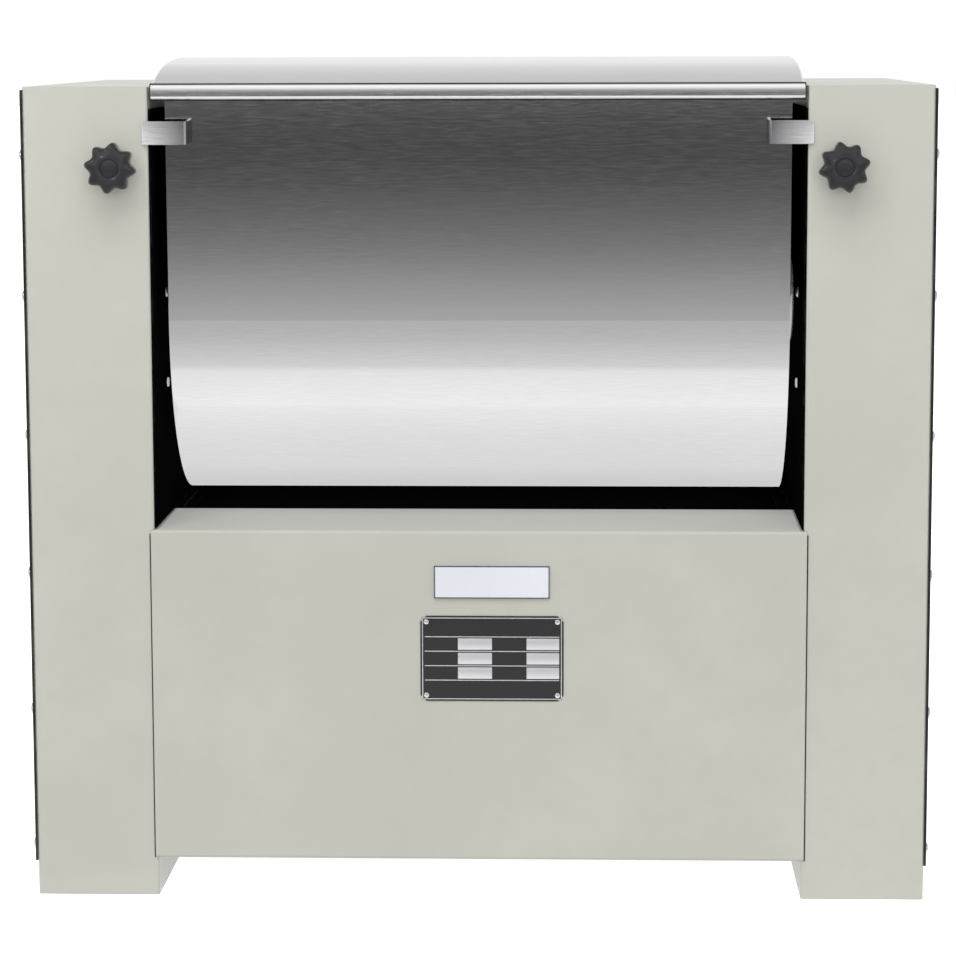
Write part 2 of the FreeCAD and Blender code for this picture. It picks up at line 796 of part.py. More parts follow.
def motor_housing():
    """Finned stator housing with both end shields and feet. Local origin: the shaft line at the drive
    end, with the housing towards -X."""
    length = value("motor_length")
    shield = value("motor_shield_length")
    radius = value("motor_radius")
    rim = value("motor_radius + motor_fin_height")
    rise = value(MOTOR_RISE)
    parts = [
        bar(24, rim, -length, shield - length),
        bar(24, rim, -shield, -shield / 3),
        taper(24, -shield / 3, rim, 0, value("motor_nose_radius")),
    ]
    half_foot = rise * 0.84
    foot_top = value("motor_foot_height") - rise
    half_width = value("motor_foot_width / 2")
    for sign in SIDES.values():
        middle = -length / 2 + sign * value("motor_foot_spread / 2")
        parts.append(box_between(Vector(middle - half_width, -half_foot, -rise),
                                 Vector(middle + half_width, half_foot, foot_top)))
        for leg in SIDES.values():
            sides = sorted((leg * radius * 0.6, leg * radius * 0.82))
            parts.append(box_between(Vector(middle - half_width, sides[0], -rise),
                                     Vector(middle + half_width, sides[1], -radius * 0.6)))
    barrel = finned_bar(int(value("motor_fin_count")), radius, rim, value("motor_fin_thickness"),
                        shield - length, -shield)
    housing = barrel.multiFuse(parts).cut(along_x(-length, 0, value("motor_shaft_radius + fit_gap")))
    shape_node("motor_housing", housing.removeSplitter(), MOTOR_FACE, MOTOR_Y, MOTOR_Z)


def motor_bolts():
    solids = []
    top = value(f"{MOTOR_Z} - {MOTOR_RISE} + motor_foot_height")
    for along in SIDES.values():
        for across in SIDES.values():
            x = value(f"{MOTOR_FACE} - motor_length / 2 + {along} * motor_foot_spread / 2")
            y = value(f"{MOTOR_Y} + {across} * ({MOTOR_RISE} * 0.84 - screw_head_radius)")
            solids.append(head(Vector(x, y, top), Vector(0, 0, 1), 6, value("screw_head_radius"),
                               value("screw_head_height")))
    solids_node("motor_bolts", solids)


def motor_fan_cover():
    """A pressed cup over the fan, slotted in its end. Local origin as the motor housing."""
    rim = value("motor_radius + motor_fin_height + fit_gap")
    gauge = value("fan_cover_sheet")
    start = value("-motor_length + motor_shield_length / 3")
    end = value("-motor_length - fan_cover_length")
    cover = bar(24, rim + gauge, end, start).cut(bar(24, rim, end + gauge, start))
    half = value("motor_fin_thickness")
    for step in range(6):
        slot = box_between(Vector(end - gauge, -half, value("fan_radius * 0.35")),
                           Vector(end + 2 * gauge, half, value("fan_radius")))
        slot.rotate(Vector(), Vector(1, 0, 0), 60 * step)
        cover = cover.cut(slot)
    shape_node("motor_fan_cover", cover, MOTOR_FACE, MOTOR_Y, MOTOR_Z)


def motor_terminal_box():
    body = new_body("motor_terminal_box")
    sketch = new_sketch(body, "XY_Plane", "motor_radius + motor_fin_height")
    middle = "-motor_length / 2"
    rectangle(sketch, f"{middle} - terminal_length / 2", "-terminal_width / 2",
              f"{middle} + terminal_length / 2", "terminal_width / 2")
    block = pad(body, sketch, "terminal_height")
    bevel(body, block, "panel_corner", lambda edge: runs_along(edge, "z"))
    place(body, MOTOR_FACE, MOTOR_Y, MOTOR_Z)
    keep(body, body.Name)


def motor_rotor():
    """The motor's shaft, turning inside the housing; it carries the belt pulley and the fan."""
    tail = "(-motor_length - fan_cover_length * 0.7)"
    rotor = document.addObject("Part::Cylinder", "motor_rotor")
    bind(rotor, "Radius", "motor_shaft_radius")
    bind(rotor, "Height", f"{PULLEY_X} + pulley_width - {MOTOR_FACE} - {tail}")
    place(rotor, f"{MOTOR_FACE} + {tail}", MOTOR_Y, MOTOR_Z, Z_TO_X)
    keep(rotor, rotor.Name)


def motor_fan():
    """Eight straight blades round a hub on the motor's shaft. Local origin as the motor housing."""
    start = value("-motor_length - fan_cover_length * 0.65")
    end = value("-motor_length - fan_cover_length * 0.2")
    blade = value("2 * fan_cover_sheet")
    fan = finned_bar(8, value("fan_radius * 0.35"), value("fan_radius"), blade, start, end)
    bore = value("motor_shaft_radius + press_gap") / math.cos(math.pi / 12)
    shape_node("motor_fan", fan.cut(bar(12, bore, start, end)), MOTOR_FACE, MOTOR_Y, MOTOR_Z)


def spoked(wheel, width, hub, rim, spoke, count):
    """Cut straight-sided windows through a wheel along X, so that spokes of one width stay."""
    for step in range(count):
        middle = 2 * math.pi * (step + 0.5) / count
        near = math.pi / count - math.asin(spoke / 2 / hub)
        far = math.pi / count - math.asin(spoke / 2 / rim)
        corners = [(hub, -near), (hub, near), (rim, far), (rim, far / 3), (rim, -far / 3), (rim, -far)]
        points = [Vector(0, reach * math.cos(middle + turn), reach * math.sin(middle + turn))
                  for reach, turn in corners]
        wheel = wheel.cut(Part.Face(Part.makePolygon(points + points[:1])).extrude(Vector(width, 0, 0)))
    return wheel


def motor_pulley():
    width = value("pulley_width")
    wheel = bored(bar(24, value("motor_pulley_radius"), 0, width), width, "motor_shaft_radius")
    shape_node("motor_pulley", wheel, PULLEY_X, MOTOR_Y, MOTOR_Z)


def driven_pulley():
    """The large pulley on the countershaft, with five spokes."""
    width = value("pulley_width")
    wheel = bar(64, value("driven_pulley_radius"), 0, width)
    wheel = spoked(wheel, width, value("pulley_hub"), value("driven_pulley_radius - pulley_rim"),
                   value("pulley_spoke"), 5)
    wheel = bored(wheel, width, "counter_radius")
    shape_node("driven_pulley", wheel, PULLEY_X, COUNTER_Y, COUNTER_Z)


def belt_loop(grow):
    """The belt's path round both pulleys, a little outside them, as short straight pieces."""
    low = Vector(0, value(MOTOR_Y), value(MOTOR_Z))
    high = Vector(0, value(COUNTER_Y), value(COUNTER_Z))
    small = value("motor_pulley_radius")
    large = value("driven_pulley_radius")
    along = high - low
    lean = math.asin((large - small) / along.Length)
    heading = math.atan2(along.z, along.y)
    points = []
    for centre, radius, middle, half, count in (
            (high, large + grow, heading, math.pi / 2 + lean, 24),
            (low, small + grow, heading + math.pi, math.pi / 2 - lean, 10)):
        step = 2 * half / count
        reach = radius / math.cos(step / 2)
        for number in range(count):
            angle = middle - half + step * (number + 0.5)
            points.append(centre + Vector(0, reach * math.cos(angle), reach * math.sin(angle)))
    return Part.Face(Part.makePolygon(points + points[:1]))


def drive_belt():
    """One flat belt from the motor pulley to the large pulley."""
    gap = value("belt_gap")
    band = belt_loop(gap + value("belt_thickness")).cut(belt_loop(gap))
    band.translate(Vector(value(f"{PULLEY_X} + (pulley_width - belt_width) / 2"), 0, 0))
    solids_node("drive_belt", band.Faces[0].extrude(Vector(value("belt_width"), 0, 0)).Solids)


# Gears, countershaft and its carriers

def half_tooth_angle(teeth, radius):
    """Half the angle that an involute tooth takes up at a radius, thinned by its share of the play."""
    module = value("gear_module")
    pitch_radius = module * teeth / 2
    pressure = math.radians(20)
    base_radius = pitch_radius * math.cos(pressure)
    slope = math.acos(min(1, base_radius / max(radius, base_radius)))
    turn = (math.tan(pressure) - pressure) - (math.tan(slope) - slope)
    play = value("gear_backlash") / 4 / pitch_radius
    return math.pi / (2 * teeth) + turn - play


def tooth_prism(teeth, radii, first_angle, length):
    """A toothed wheel blank along X: flanks follow the involute at the radii given, root to tip."""
    pitch = 2 * math.pi / teeth
    points = []
    for tooth in range(teeth):
        middle = first_angle + tooth * pitch
        climb = [(middle - half_tooth_angle(teeth, radius), radius) for radius in radii]
        fall = [(middle + half_tooth_angle(teeth, radius), radius) for radius in reversed(radii)]
        for angle, radius in climb + fall:
            points.append(Vector(0, radius * math.cos(angle), radius * math.sin(angle)))
    face = Part.Face(Part.makePolygon(points + points[:1]))
    return face.extrude(Vector(length, 0, 0))


def main_gear():
    """The large gear on the mixing shaft: involute teeth, rim, spokes and hub. At rest a tooth gap
    faces the pinion."""
    teeth = int(value("gear_teeth"))
    module = value("gear_module")
    pitch_radius = module * teeth / 2
    root = pitch_radius - 1.25 * module
    tip = pitch_radius + 0.7 * module
    width = value("gear_width")
    towards_pinion = -math.radians(value("mesh_angle"))
    first_tooth = towards_pinion + math.pi / teeth
    wheel = tooth_prism(teeth, (root, tip), first_tooth, width)
    wheel = spoked(wheel, width, value("gear_hub"), root - value("gear_rim"), value("gear_spoke"), 5)
    wheel = bored(wheel, width, "shaft_radius")
    shape_node("main_gear", wheel, GEAR_X, AXIS_Y, AXIS_Z)


def pinion():
    """The small gear on the countershaft; at rest one tooth points at the large gear."""
    teeth = int(value("pinion_teeth"))
    module = value("gear_module")
    pitch_radius = module * teeth / 2
    base = pitch_radius * math.cos(math.radians(20))
    towards_gear = math.pi - math.radians(value("mesh_angle"))
    length = value("gear_width + 2 * pinion_overhang")
    root = pitch_radius - 1.25 * module
    wheel = tooth_prism(teeth, (root, base, pitch_radius + module), towards_gear, length)
    wheel = bored(wheel, length, "counter_radius")
    shape_node("pinion", wheel, f"{GEAR_X} - pinion_overhang", COUNTER_Y, COUNTER_Z)


def countershaft():
    shaft = document.addObject("Part::Cylinder", "countershaft")
    bind(shaft, "Radius", "counter_radius")
    bind(shaft, "Height", f"{CROSS_BAR_X} + cross_bar_thickness - {WALL} - fit_gap")
    place(shaft, f"{WALL} + fit_gap", COUNTER_Y, COUNTER_Z, Z_TO_X)
    keep(shaft, shaft.Name)


def bearing_cross_bar():
    """A flat bar welded across the right column; it carries the countershaft's outer bearing."""
    body = new_body("bearing_cross_bar")
    sketch = new_sketch(body, "YZ_Plane")
    rectangle(sketch, f"{FRONT} + column_sheet - {COUNTER_Y}", "-cross_bar_height / 2",
              f"{REAR} - column_sheet - {COUNTER_Y}", "cross_bar_height / 2")
    outline(sketch, polygon(8, "0", "0", "cross_bar_hole"))
    pad(body, sketch, "cross_bar_thickness")
    place(body, CROSS_BAR_X, COUNTER_Y, COUNTER_Z)
    keep(body, body.Name)


def bearing_units():
    """Square flanged bearing units, bored to let a shaft turn: two for the mixing shaft on the sleeves'
    flanges, two for the countershaft on the column's wall and on the cross bar."""
    solids = []
    axis = (value(AXIS_Y), value(AXIS_Z))
    for sign in SIDES.values():
        start, end = spread(sign, f"{WALL} + sleeve_flange_thickness", UNIT_FACE)
        block = square_block(start, end, value("unit_width"), *axis)
        solids.append(block.cut(along_x(start, end, value("shaft_radius + running_gap"), *axis)))
    counter = (value(COUNTER_Y), value(COUNTER_Z))
    for near in (WALL, f"{CROSS_BAR_X} - counter_unit_thickness"):
        start, end = spread(1, near, f"{near} + counter_unit_thickness")
        block = square_block(start, end, value("counter_unit_width"), *counter)
        solids.append(block.cut(along_x(start, end, value("counter_radius + running_gap"), *counter)))
    solids_node("bearing_units", solids)


# Trough sleeves, mixing shaft and what sits on it

def pivot_sleeves():
    """The fixed sleeves on which the trough tips, each with a square flange on the column's wall."""
    axis = (value(AXIS_Y), value(AXIS_Z))
    solids = []
    for sign in SIDES.values():
        start, end = spread(sign, WALL, f"{WALL} + sleeve_flange_thickness")
        flange = square_block(start, end, value("sleeve_flange"), *axis)
        start, end = spread(sign, SLEEVE_TIP, f"{WALL} + sleeve_flange_thickness / 2")
        sleeve = flange.fuse(along_x(start, end, value("sleeve_radius"), *axis))
        start, end = spread(sign, SLEEVE_TIP, f"{WALL} + sleeve_flange_thickness")
        sleeve = sleeve.cut(bar(16, value("sleeve_bore_radius"), start, end, *axis))
        solids.append(sleeve.removeSplitter())
    solids_node("pivot_sleeves", solids)


def housing_bolts():
    """Four bolts in the corners of each sleeve's flange."""
    solids = []
    place_out = value("housing_bolt_place")
    for sign in SIDES.values():
        x = sign * value(f"{WALL} + sleeve_flange_thickness")
        for across in SIDES.values():
            for up in SIDES.values():
                spot = Vector(x, value(AXIS_Y) + across * place_out, value(AXIS_Z) + up * place_out)
                solids.append(head(spot, Vector(sign, 0, 0), 6, value("housing_bolt_radius"),
                                   value("housing_bolt_height")))
    solids_node("housing_bolts", solids)


def mixing_shaft():
    """Shaft, three cross arms and two helical blades half a turn long, welded into one piece. At rest
    the end arms lie level and the middle arm stands upright. Local origin: the middle of the shaft."""
    body = new_body("mixing_shaft")
    sketch = new_sketch(body, "XZ_Plane")
    left = f"-({UNIT_FACE} + fit_gap + collar_length)"
    right = f"{GEAR_X} + gear_width"
    shoulder = f"({SLEEVE_TIP} - sleeve_overhang)"
    outline(sketch, [
        (left, "0"), (right, "0"), (right, "shaft_radius"), (shoulder, "shaft_radius"),
        (shoulder, "agitator_hub_radius"), (f"-{shoulder}", "agitator_hub_radius"),
        (f"-{shoulder}", "shaft_radius"), (left, "shaft_radius"),
    ])
    revolve(body, sketch)
    radius = "(trough_radius - trough_sheet - agitator_wall_gap)"
    middle = f"({SLEEVE_TIP} - agitator_end_gap - agitator_blade_width / 2)"
    reach = f"({radius} - agitator_blade_thickness / 2)"
    wide = "agitator_arm_width / 2"
    thick = "agitator_arm_thickness / 2"
    for sign in SIDES.values():
        box_feature(body, "Additive", (f"{sign} * {middle} - {wide}", f"-{reach}", f"-{thick}"),
                    (f"{sign} * {middle} + {wide}", reach, thick))
    box_feature(body, "Additive", (f"-{wide}", f"-{thick}", f"-{reach}"), (wide, thick, reach))
    blade_sketch = new_sketch(body, "XY_Plane")
    half = "agitator_blade_width / 2"
    rectangle(blade_sketch, f"-{middle} - {half}", f"{radius} - agitator_blade_thickness",
              f"-{middle} + {half}", radius)
    blade = body.newObject("PartDesign::AdditiveHelix", "mixing_shaft_blade")
    blade.Profile = blade_sketch
    blade.ReferenceAxis = (blade_sketch, ["H_Axis"])
    blade.Mode = "pitch-height-angle"
    bind(blade, "Pitch", f"4 * {middle}")
    bind(blade, "Height", f"2 * {middle}")
    document.recompute()
    polar(body, blade, "X_Axis", 2)
    place(body, 0, AXIS_Y, AXIS_Z)
    keep(body, body.Name)


def shaft_collars():
    """Straight-sided tubes on the mixing shaft: a spacer from the right bearing to the large gear and a
    collar outside the left bearing."""
    axis = (value(AXIS_Y), value(AXIS_Z))
    near = f"{UNIT_FACE} + fit_gap"
    solids = []
    for start, end in (spread(1, near, GEAR_X), spread(-1, near, f"{near} + collar_length")):
        tube = bored(bar(16, value("collar_radius"), 0, end - start), end - start, "shaft_radius")
        tube.translate(Vector(start, *axis))
        solids.append(tube)
    solids_node("shaft_collars", solids)


def gear_retainer():
    """End washer and bolt head that hold the large gear on the shaft."""
    washer = value("retainer_thickness")
    retainer = bar(8, value("retainer_radius"), 0, washer)
    top = washer + value("retainer_head_height")
    retainer = retainer.fuse(bar(6, value("retainer_head_radius"), washer, top))
    shape_node("gear_retainer", retainer, f"{GEAR_X} + gear_width", AXIS_Y, AXIS_Z)


# Trough

def wall_reach(side, inset, height):
    """Distance in Y from the shaft line to a face of the tapered trough wall at a height above it."""
    return f"{side} * (trough_radius - {inset} + ({height}) * sin(trough_taper)) / cos(trough_taper)"


def bowl_edge(side, inset):
    """Where the round bottom runs into the straight wall."""
    return (f"{side} * (trough_radius - {inset}) * cos(trough_taper)",
            f"-(trough_radius - {inset}) * sin(trough_taper)")


def trough():
    """Sheet trough with rim flange, end plates and hubs, welded into one piece. Local origin: the
    shaft line, midway between the columns."""
    body = new_body("trough")
    rim = "trough_rim"
    gauge = "trough_sheet"
    under = f"{rim} - {gauge}"
    lip = {side: f"({wall_reach(side, 0, rim)} + {side} * trough_rim_flange)" for side in (-1, 1)}
    band = new_sketch(body, "YZ_Plane")
    outline(band, [
        (wall_reach(-1, 0, under), under), (lip[-1], under), (lip[-1], rim),
        (wall_reach(-1, gauge, rim), rim), bowl_edge(-1, gauge),
        (*bowl_edge(1, gauge), f"trough_radius - {gauge}", "left"),
        (wall_reach(1, gauge, rim), rim), (lip[1], rim), (lip[1], under),
        (wall_reach(1, 0, under), under), bowl_edge(1, 0),
        (*bowl_edge(-1, 0), "trough_radius", "right"),
    ])
    pad(body, band, f"2 * {TROUGH_END}", symmetric=True)
    half = f"{gauge} / 2"
    hub_start = f"({TROUGH_END} - {gauge} - hub_reach)"
    bore = "sleeve_radius + running_gap"
    for sign in SIDES.values():
        plate = new_sketch(body, "YZ_Plane", f"{sign} * ({TROUGH_END} - {gauge})")
        outline(plate, [
            (wall_reach(-1, half, rim), rim), bowl_edge(-1, half),
            (*bowl_edge(1, half), f"trough_radius - {half}", "left"), (wall_reach(1, half, rim), rim),
        ])
        pad(body, plate, gauge, back=sign < 0)
        low, high = sorted((f"{sign} * {hub_start}", f"{sign} * {TROUGH_END}"), key=value)
        cylinder_feature(body, "Additive", Z_TO_X, low, "0", "0", "hub_barrel_radius", f"{high} - ({low})")
        cylinder_feature(body, "Subtractive", Z_TO_X, f"{low} - trough_sheet", "0", "0", bore,
                         f"{high} - ({low}) + 2 * trough_sheet")
    place(body, 0, AXIS_Y, AXIS_Z)
    keep(body, body.Name)


def stop_lugs():
    """Bent strips welded to the trough's front wall; each reaches in front of its column's face."""
    top = value("trough_rim - lug_rim_gap")
    low = top - value("lug_width")
    gauge = value("lug_sheet")
    face = value(f"-{AXIS_DEPTH} - fit_gap")
    front = face - gauge
    bend = value("lug_bend")
    solids = []
    for sign in SIDES.values():
        leg = sign * value(f"{HALF_GAP} - lug_inner_gap")
        tip = sign * value(f"{HALF_GAP} + lug_overlap")
        side = [Vector(leg, face, low), Vector(leg, value(wall_reach(-1, 0, low)), low),
                Vector(leg, value(wall_reach(-1, 0, top)), top), Vector(leg, face, top)]
        arm = Part.Face(Part.makePolygon(side + side[:1])).extrude(Vector(sign * gauge, 0, 0))
        plan = [Vector(leg, face, low), Vector(leg, front + bend, low), Vector(leg + sign * bend, front, low),
                Vector(tip, front, low), Vector(tip, face, low)]
        strip = Part.Face(Part.makePolygon(plan + plan[:1])).extrude(Vector(0, 0, top - low))
        lug = arm.fuse(strip).removeSplitter()
        lug.translate(Vector(0, value(AXIS_Y), value(AXIS_Z)))
        solids.append(lug)
    solids_node("stop_lugs", solids)


# Lid and its hinges

LID_REACH = f"({wall_reach(1, 0, 'trough_rim')} + trough_rim_flange + lid_skirt_gap + lid_sheet)"
LEAN = "(lid_crown_half / lid_crown_radius)"
LEVEL = f"sqrt(1 - {LEAN} * {LEAN})"
SHOULDER_SPAN = "(lid_crown_radius - lid_shoulder_radius)"


def shoulder_rise(inset):
    """Height of the corner above the middle of the shoulder's round."""
    across = f"({LID_REACH} - {inset} - {SHOULDER_SPAN} * {LEAN})"
    radius = f"(lid_shoulder_radius - {inset})"
    return f"sqrt({radius} * {radius} - {across} * {across})"


SHOULDER_MIDDLE = f"(trough_rim + lid_corner_rise - {shoulder_rise(0)})"
CROWN_MIDDLE = f"({SHOULDER_MIDDLE} - {SHOULDER_SPAN} * {LEVEL})"


def lid_corner(inset):
    """Height above the shaft line at which the arched top meets the skirt."""
    return f"({SHOULDER_MIDDLE} + {shoulder_rise(inset)})"


def lid_profile(inset, bottom):
    """Front to rear over the arched top, shrunk all round by inset."""
    knee_y = f"((lid_crown_radius - {inset}) * {LEAN})"
    knee_z = f"({CROWN_MIDDLE} + (lid_crown_radius - {inset}) * {LEVEL})"
    reach = f"({LID_REACH} - {inset})"
    shoulder = f"lid_shoulder_radius - {inset}"
    return [
        (f"-{reach}", bottom), (f"-{reach}", lid_corner(inset)), (f"-{knee_y}", knee_z, shoulder, "right"),
        (knee_y, knee_z, f"lid_crown_radius - {inset}", "right"),
        (reach, lid_corner(inset), shoulder, "right"), (reach, bottom),
    ]


def lid():
    """Arched pan that closes the trough. Local origin as the trough."""
    body = new_body("lid")
    half = f"({HALF_GAP} - lid_side_gap)"
    bottom = f"{lid_corner(0)} - lid_skirt"
    outer = new_sketch(body, "YZ_Plane")
    outline(outer, lid_profile("0", bottom))
    block = pad(body, outer, f"2 * {half}", symmetric=True)
    floor = value(bottom)
    reach = value(LID_REACH)

    def is_bevelled(edge):
        box = edge.BoundBox
        if box.ZMax < floor + 1:
            return False
        return not runs_along(edge, "x") or abs(box.YMax) > reach - 1

    bevel(body, block, "lid_edge", is_bevelled)
    inner = new_sketch(body, "YZ_Plane")
    outline(inner, lid_profile("lid_sheet", f"{bottom} - lid_sheet"))
    pocket(body, inner, f"2 * ({half} - lid_sheet)", symmetric=True)
    place(body, 0, AXIS_Y, AXIS_Z)
    keep(body, body.Name)


def hinge_line():
    """Y and Z of the lid's hinge pins."""
    return (value(f"{AXIS_Y} + {LID_REACH} + hinge_leaf + hinge_knuckle_radius"),
            value(f"{AXIS_Z} + trough_rim - hinge_pin_drop"))


def hinge_half(sign, outer):
    """Start and end along X of the outer or inner half of a hinge, with play between the halves."""
    middle = sign * value("hinge_place")
    side = sign if outer else -sign
    return sorted((middle + side * value("fit_gap"), middle + side * value("hinge_width / 2")))


def lid_hinge_leaves():
    """A leaf with one knuckle at each hinge, welded to the lid's rear skirt."""
    y, z = hinge_line()
    half = value("hinge_width / 2")
    skirt = value(f"{AXIS_Y} + {LID_REACH}")
    knuckle = value("hinge_knuckle_radius")
    leaf = value("hinge_leaf")
    solids = []
    for sign in SIDES.values():
        middle = sign * value("hinge_place")
        start, end = hinge_half(sign, True)
        plate = box_between(Vector(middle - half, skirt, z - knuckle),
                            Vector(middle + half, skirt + leaf, z + 2 * leaf))
        parts = [bar(8, knuckle, start, end, y, z),
                 box_between(Vector(start, skirt, z - leaf), Vector(end, y, z + 2 * leaf))]
        hole = along_x(start, end, value("hinge_pin_radius + running_gap"), y, z)
        solids.append(plate.multiFuse(parts).cut(hole).removeSplitter())
    solids_node("lid_hinge_leaves", solids)


def trough_hinge_brackets():
    """Arm and knuckle at each hinge, welded to the trough's rear wall below the lid."""
    y, z = hinge_line()
    knuckle = value("hinge_knuckle_radius - fit_gap")
    length = value("hinge_width / 2 - fit_gap")
    axis_y = value(AXIS_Y)
    axis_z = value(AXIS_Z)
    top = value("trough_rim - hinge_pin_drop - 5 * hinge_leaf")
    low = top - value("3 * hinge_leaf")
    rear = y + knuckle / 2
    front = y - knuckle / 2
    profile = [Vector(0, axis_y + value(wall_reach(1, 0, low)), axis_z + low), Vector(0, rear, axis_z + low),
               Vector(0, rear, z), Vector(0, front, z), Vector(0, front, axis_z + top),
               Vector(0, axis_y + value(wall_reach(1, 0, top)), axis_z + top)]
    arm = Part.Face(Part.makePolygon(profile + profile[:1])).extrude(Vector(length, 0, 0))
    solids = []
    for sign in SIDES.values():
        start, end = hinge_half(sign, False)
        placed = arm.translated(Vector(start, 0, 0))
        bracket = placed.fuse(bar(8, knuckle, start, end, y, z))
        bore = value("hinge_pin_radius + press_gap") / math.cos(math.pi / 8)
        bracket = bracket.cut(bar(8, bore, start, end, y, z))
        solids.append(bracket.removeSplitter())
    solids_node("trough_hinge_brackets", solids)


def lid_hinge_pins():
    y, z = hinge_line()
    half = value("hinge_width / 2")
    solids = []
    for sign in SIDES.values():
        middle = sign * value("hinge_place")
        solids.append(along_x(middle - half, middle + half, value("hinge_pin_radius"), y, z))
    solids_node("lid_hinge_pins", solids)


# Star knobs on the column fronts

def lobed_ring(x, scale, turn):
    """The knob's outline at one depth: round lobes on a round core, walked in short straight steps."""
    lobes = int(value("knob_lobes"))
    core = value("knob_core_radius")
    lobe = value("knob_lobe_radius")
    spread_out = value("knob_radius - knob_lobe_radius")
    points = []
    for number in range(lobes):
        middle = math.radians(turn) + 2 * math.pi * number / lobes
        for share in (-1, -0.7, -0.36, 0, 0.36, 0.7):
            lean = share * math.pi / lobes
            room = lobe ** 2 - (spread_out * math.sin(lean)) ** 2
            reach = max(core, spread_out * math.cos(lean) + math.sqrt(max(room, 0))) * scale
            points.append(Vector(x, reach * math.sin(middle + lean), reach * math.cos(middle + lean)))
    return points


def star_knob(side):
    """Eight-lobed knob. Local origin: on the column's face, X forward out of the machine."""
    back = value("knob_reach - knob_head")
    front = value("knob_reach")
    edge = value("knob_edge")
    radius = value("knob_radius")
    turn = value(f"knob_turn_{side}")
    wide = joined_rings(lobed_ring(back, 1, turn), lobed_ring(front - edge, 1, turn))
    rim = joined_rings(lobed_ring(front - edge, 1, turn), lobed_ring(front, (radius - edge) / radius, turn))
    hub = bar(16, value("knob_hub_radius"), value("fit_gap"), back + edge)
    bore = along_x(0, value("stud_hold + fit_gap"), value("stud_radius + running_gap"))
    knob = wide.multiFuse([rim, hub]).cut(bore).removeSplitter()
    shape_node(f"{side}_star_knob", knob, f"{SIDES[side]} * {KNOB_X}", FRONT, KNOB_Z, X_TO_MINUS_Y)


def knob_studs():
    """Bolts through the columns' fronts: hexagon head inside, square neck in the sheet, and a shank that
    holds the knob."""
    gauge = value("column_sheet")
    bolt = bar(6, value("nut_flats / sqrt(3)"), -gauge - value("nut_thickness"), -gauge)
    parts = [square_block(-gauge, 0, value("stud_neck")), bar(8, value("stud_radius"), 0, value("stud_hold"))]
    bolt = bolt.multiFuse(parts).removeSplitter()
    solids = []
    for sign in SIDES.values():
        copy = bolt.copy()
        spot = Vector(sign * value(KNOB_X), value(FRONT), value(KNOB_Z))
        copy.Placement = FreeCAD.Placement(spot, X_TO_MINUS_Y)
        solids.append(copy)
    solids_node("knob_studs", solids)


# Plates on the front panel

def bare_plate(name, width, height, thickness, centre_z):
    """A plain plate on the front panel. Local origin: its middle, on the panel's face."""
    body = new_body(name)
    sketch = new_sketch(body, "XZ_Plane")
    rectangle(sketch, f"-{width} / 2", f"-{height} / 2", f"{width} / 2", f"{height} / 2")
    pad(body, sketch, thickness)
    place(body, "plate_centre_offset", f"{FRONT} - panel_sheet", centre_z)
    return body


def plates():
    badge = bare_plate("badge_plate", "badge_width", "badge_height", "badge_thickness",
                       f"{PANEL_TOP} - badge_drop")
    front = value("-badge_thickness")
    bevel(badge, badge.Tip, "badge_corner / 2", lambda edge: edge.BoundBox.YMax < front + 0.01)
    keep(badge, badge.Name)
    rating = bare_plate("rating_plate", "rating_width", "rating_height", "rating_thickness",
                        f"{PANEL_TOP} - rating_drop")
    bevel(rating, rating.Tip, "rating_corner", lambda edge: runs_along(edge, "y"))
    keep(rating, rating.Name)


def plate_rivets():
    solids = []
    seat = value(f"{FRONT} - panel_sheet - rating_thickness")
    for across in SIDES.values():
        for up in SIDES.values():
            x = value(f"plate_centre_offset + {across} * (rating_width / 2 - rivet_inset)")
            z = value(f"{PANEL_TOP} - rating_drop + {up} * (rating_height / 2 - rivet_inset)")
            solids.append(head(Vector(x, seat, z), Vector(0, -1, 0), 6, value("rivet_radius"),
                               value("rivet_height")))
    solids_node("plate_rivets", solids)


# Recessed switch panel on the left side cover

SWITCH_FACE = f"(-{OUTSIDE} - cover_sheet)"
TRAY_FLOOR = f"({SWITCH_FACE} + switch_recess - switch_sheet)"


def centred_rectangle(sketch, width, height):
    rectangle(sketch, f"-({width}) / 2", f"-({height}) / 2", f"({width}) / 2", f"({height}) / 2")


def switch_panel():
    """A drawn tray with a rim. Local origin: the middle of its window, on the cover's outer face."""
    body = new_body("switch_panel")
    rim = new_sketch(body, "YZ_Plane")
    centred_rectangle(rim, "switch_width + 2 * switch_rim", "switch_tall + 2 * switch_rim")
    rim_pad = pad(body, rim, "switch_sheet", back=True)
    round_off(body, rim_pad, "switch_rim", lambda edge: runs_along(edge, "x"))
    tray = new_sketch(body, "YZ_Plane")
    centred_rectangle(tray, "switch_width - 2 * fit_gap", "switch_tall - 2 * fit_gap")
    pad(body, tray, "switch_recess")
    hollow = new_sketch(body, "YZ_Plane", "-switch_sheet")
    gap = "(2 * fit_gap + 2 * switch_sheet)"
    centred_rectangle(hollow, f"switch_width - {gap}", f"switch_tall - {gap}")
    pocket(body, hollow, "switch_recess", back=True)
    for up in SIDES.values():
        half = "(button_stem_width / 2 + fit_gap)"
        middle = f"{up} * button_pitch / 2"
        box_feature(body, "Subtractive", ("switch_recess - 2 * switch_sheet", f"-{half}", f"{middle} - {half}"),
                    ("switch_recess + switch_sheet", half, f"{middle} + {half}"))
    place(body, SWITCH_FACE, SWITCH_Y, SWITCH_Z)
    keep(body, body.Name)


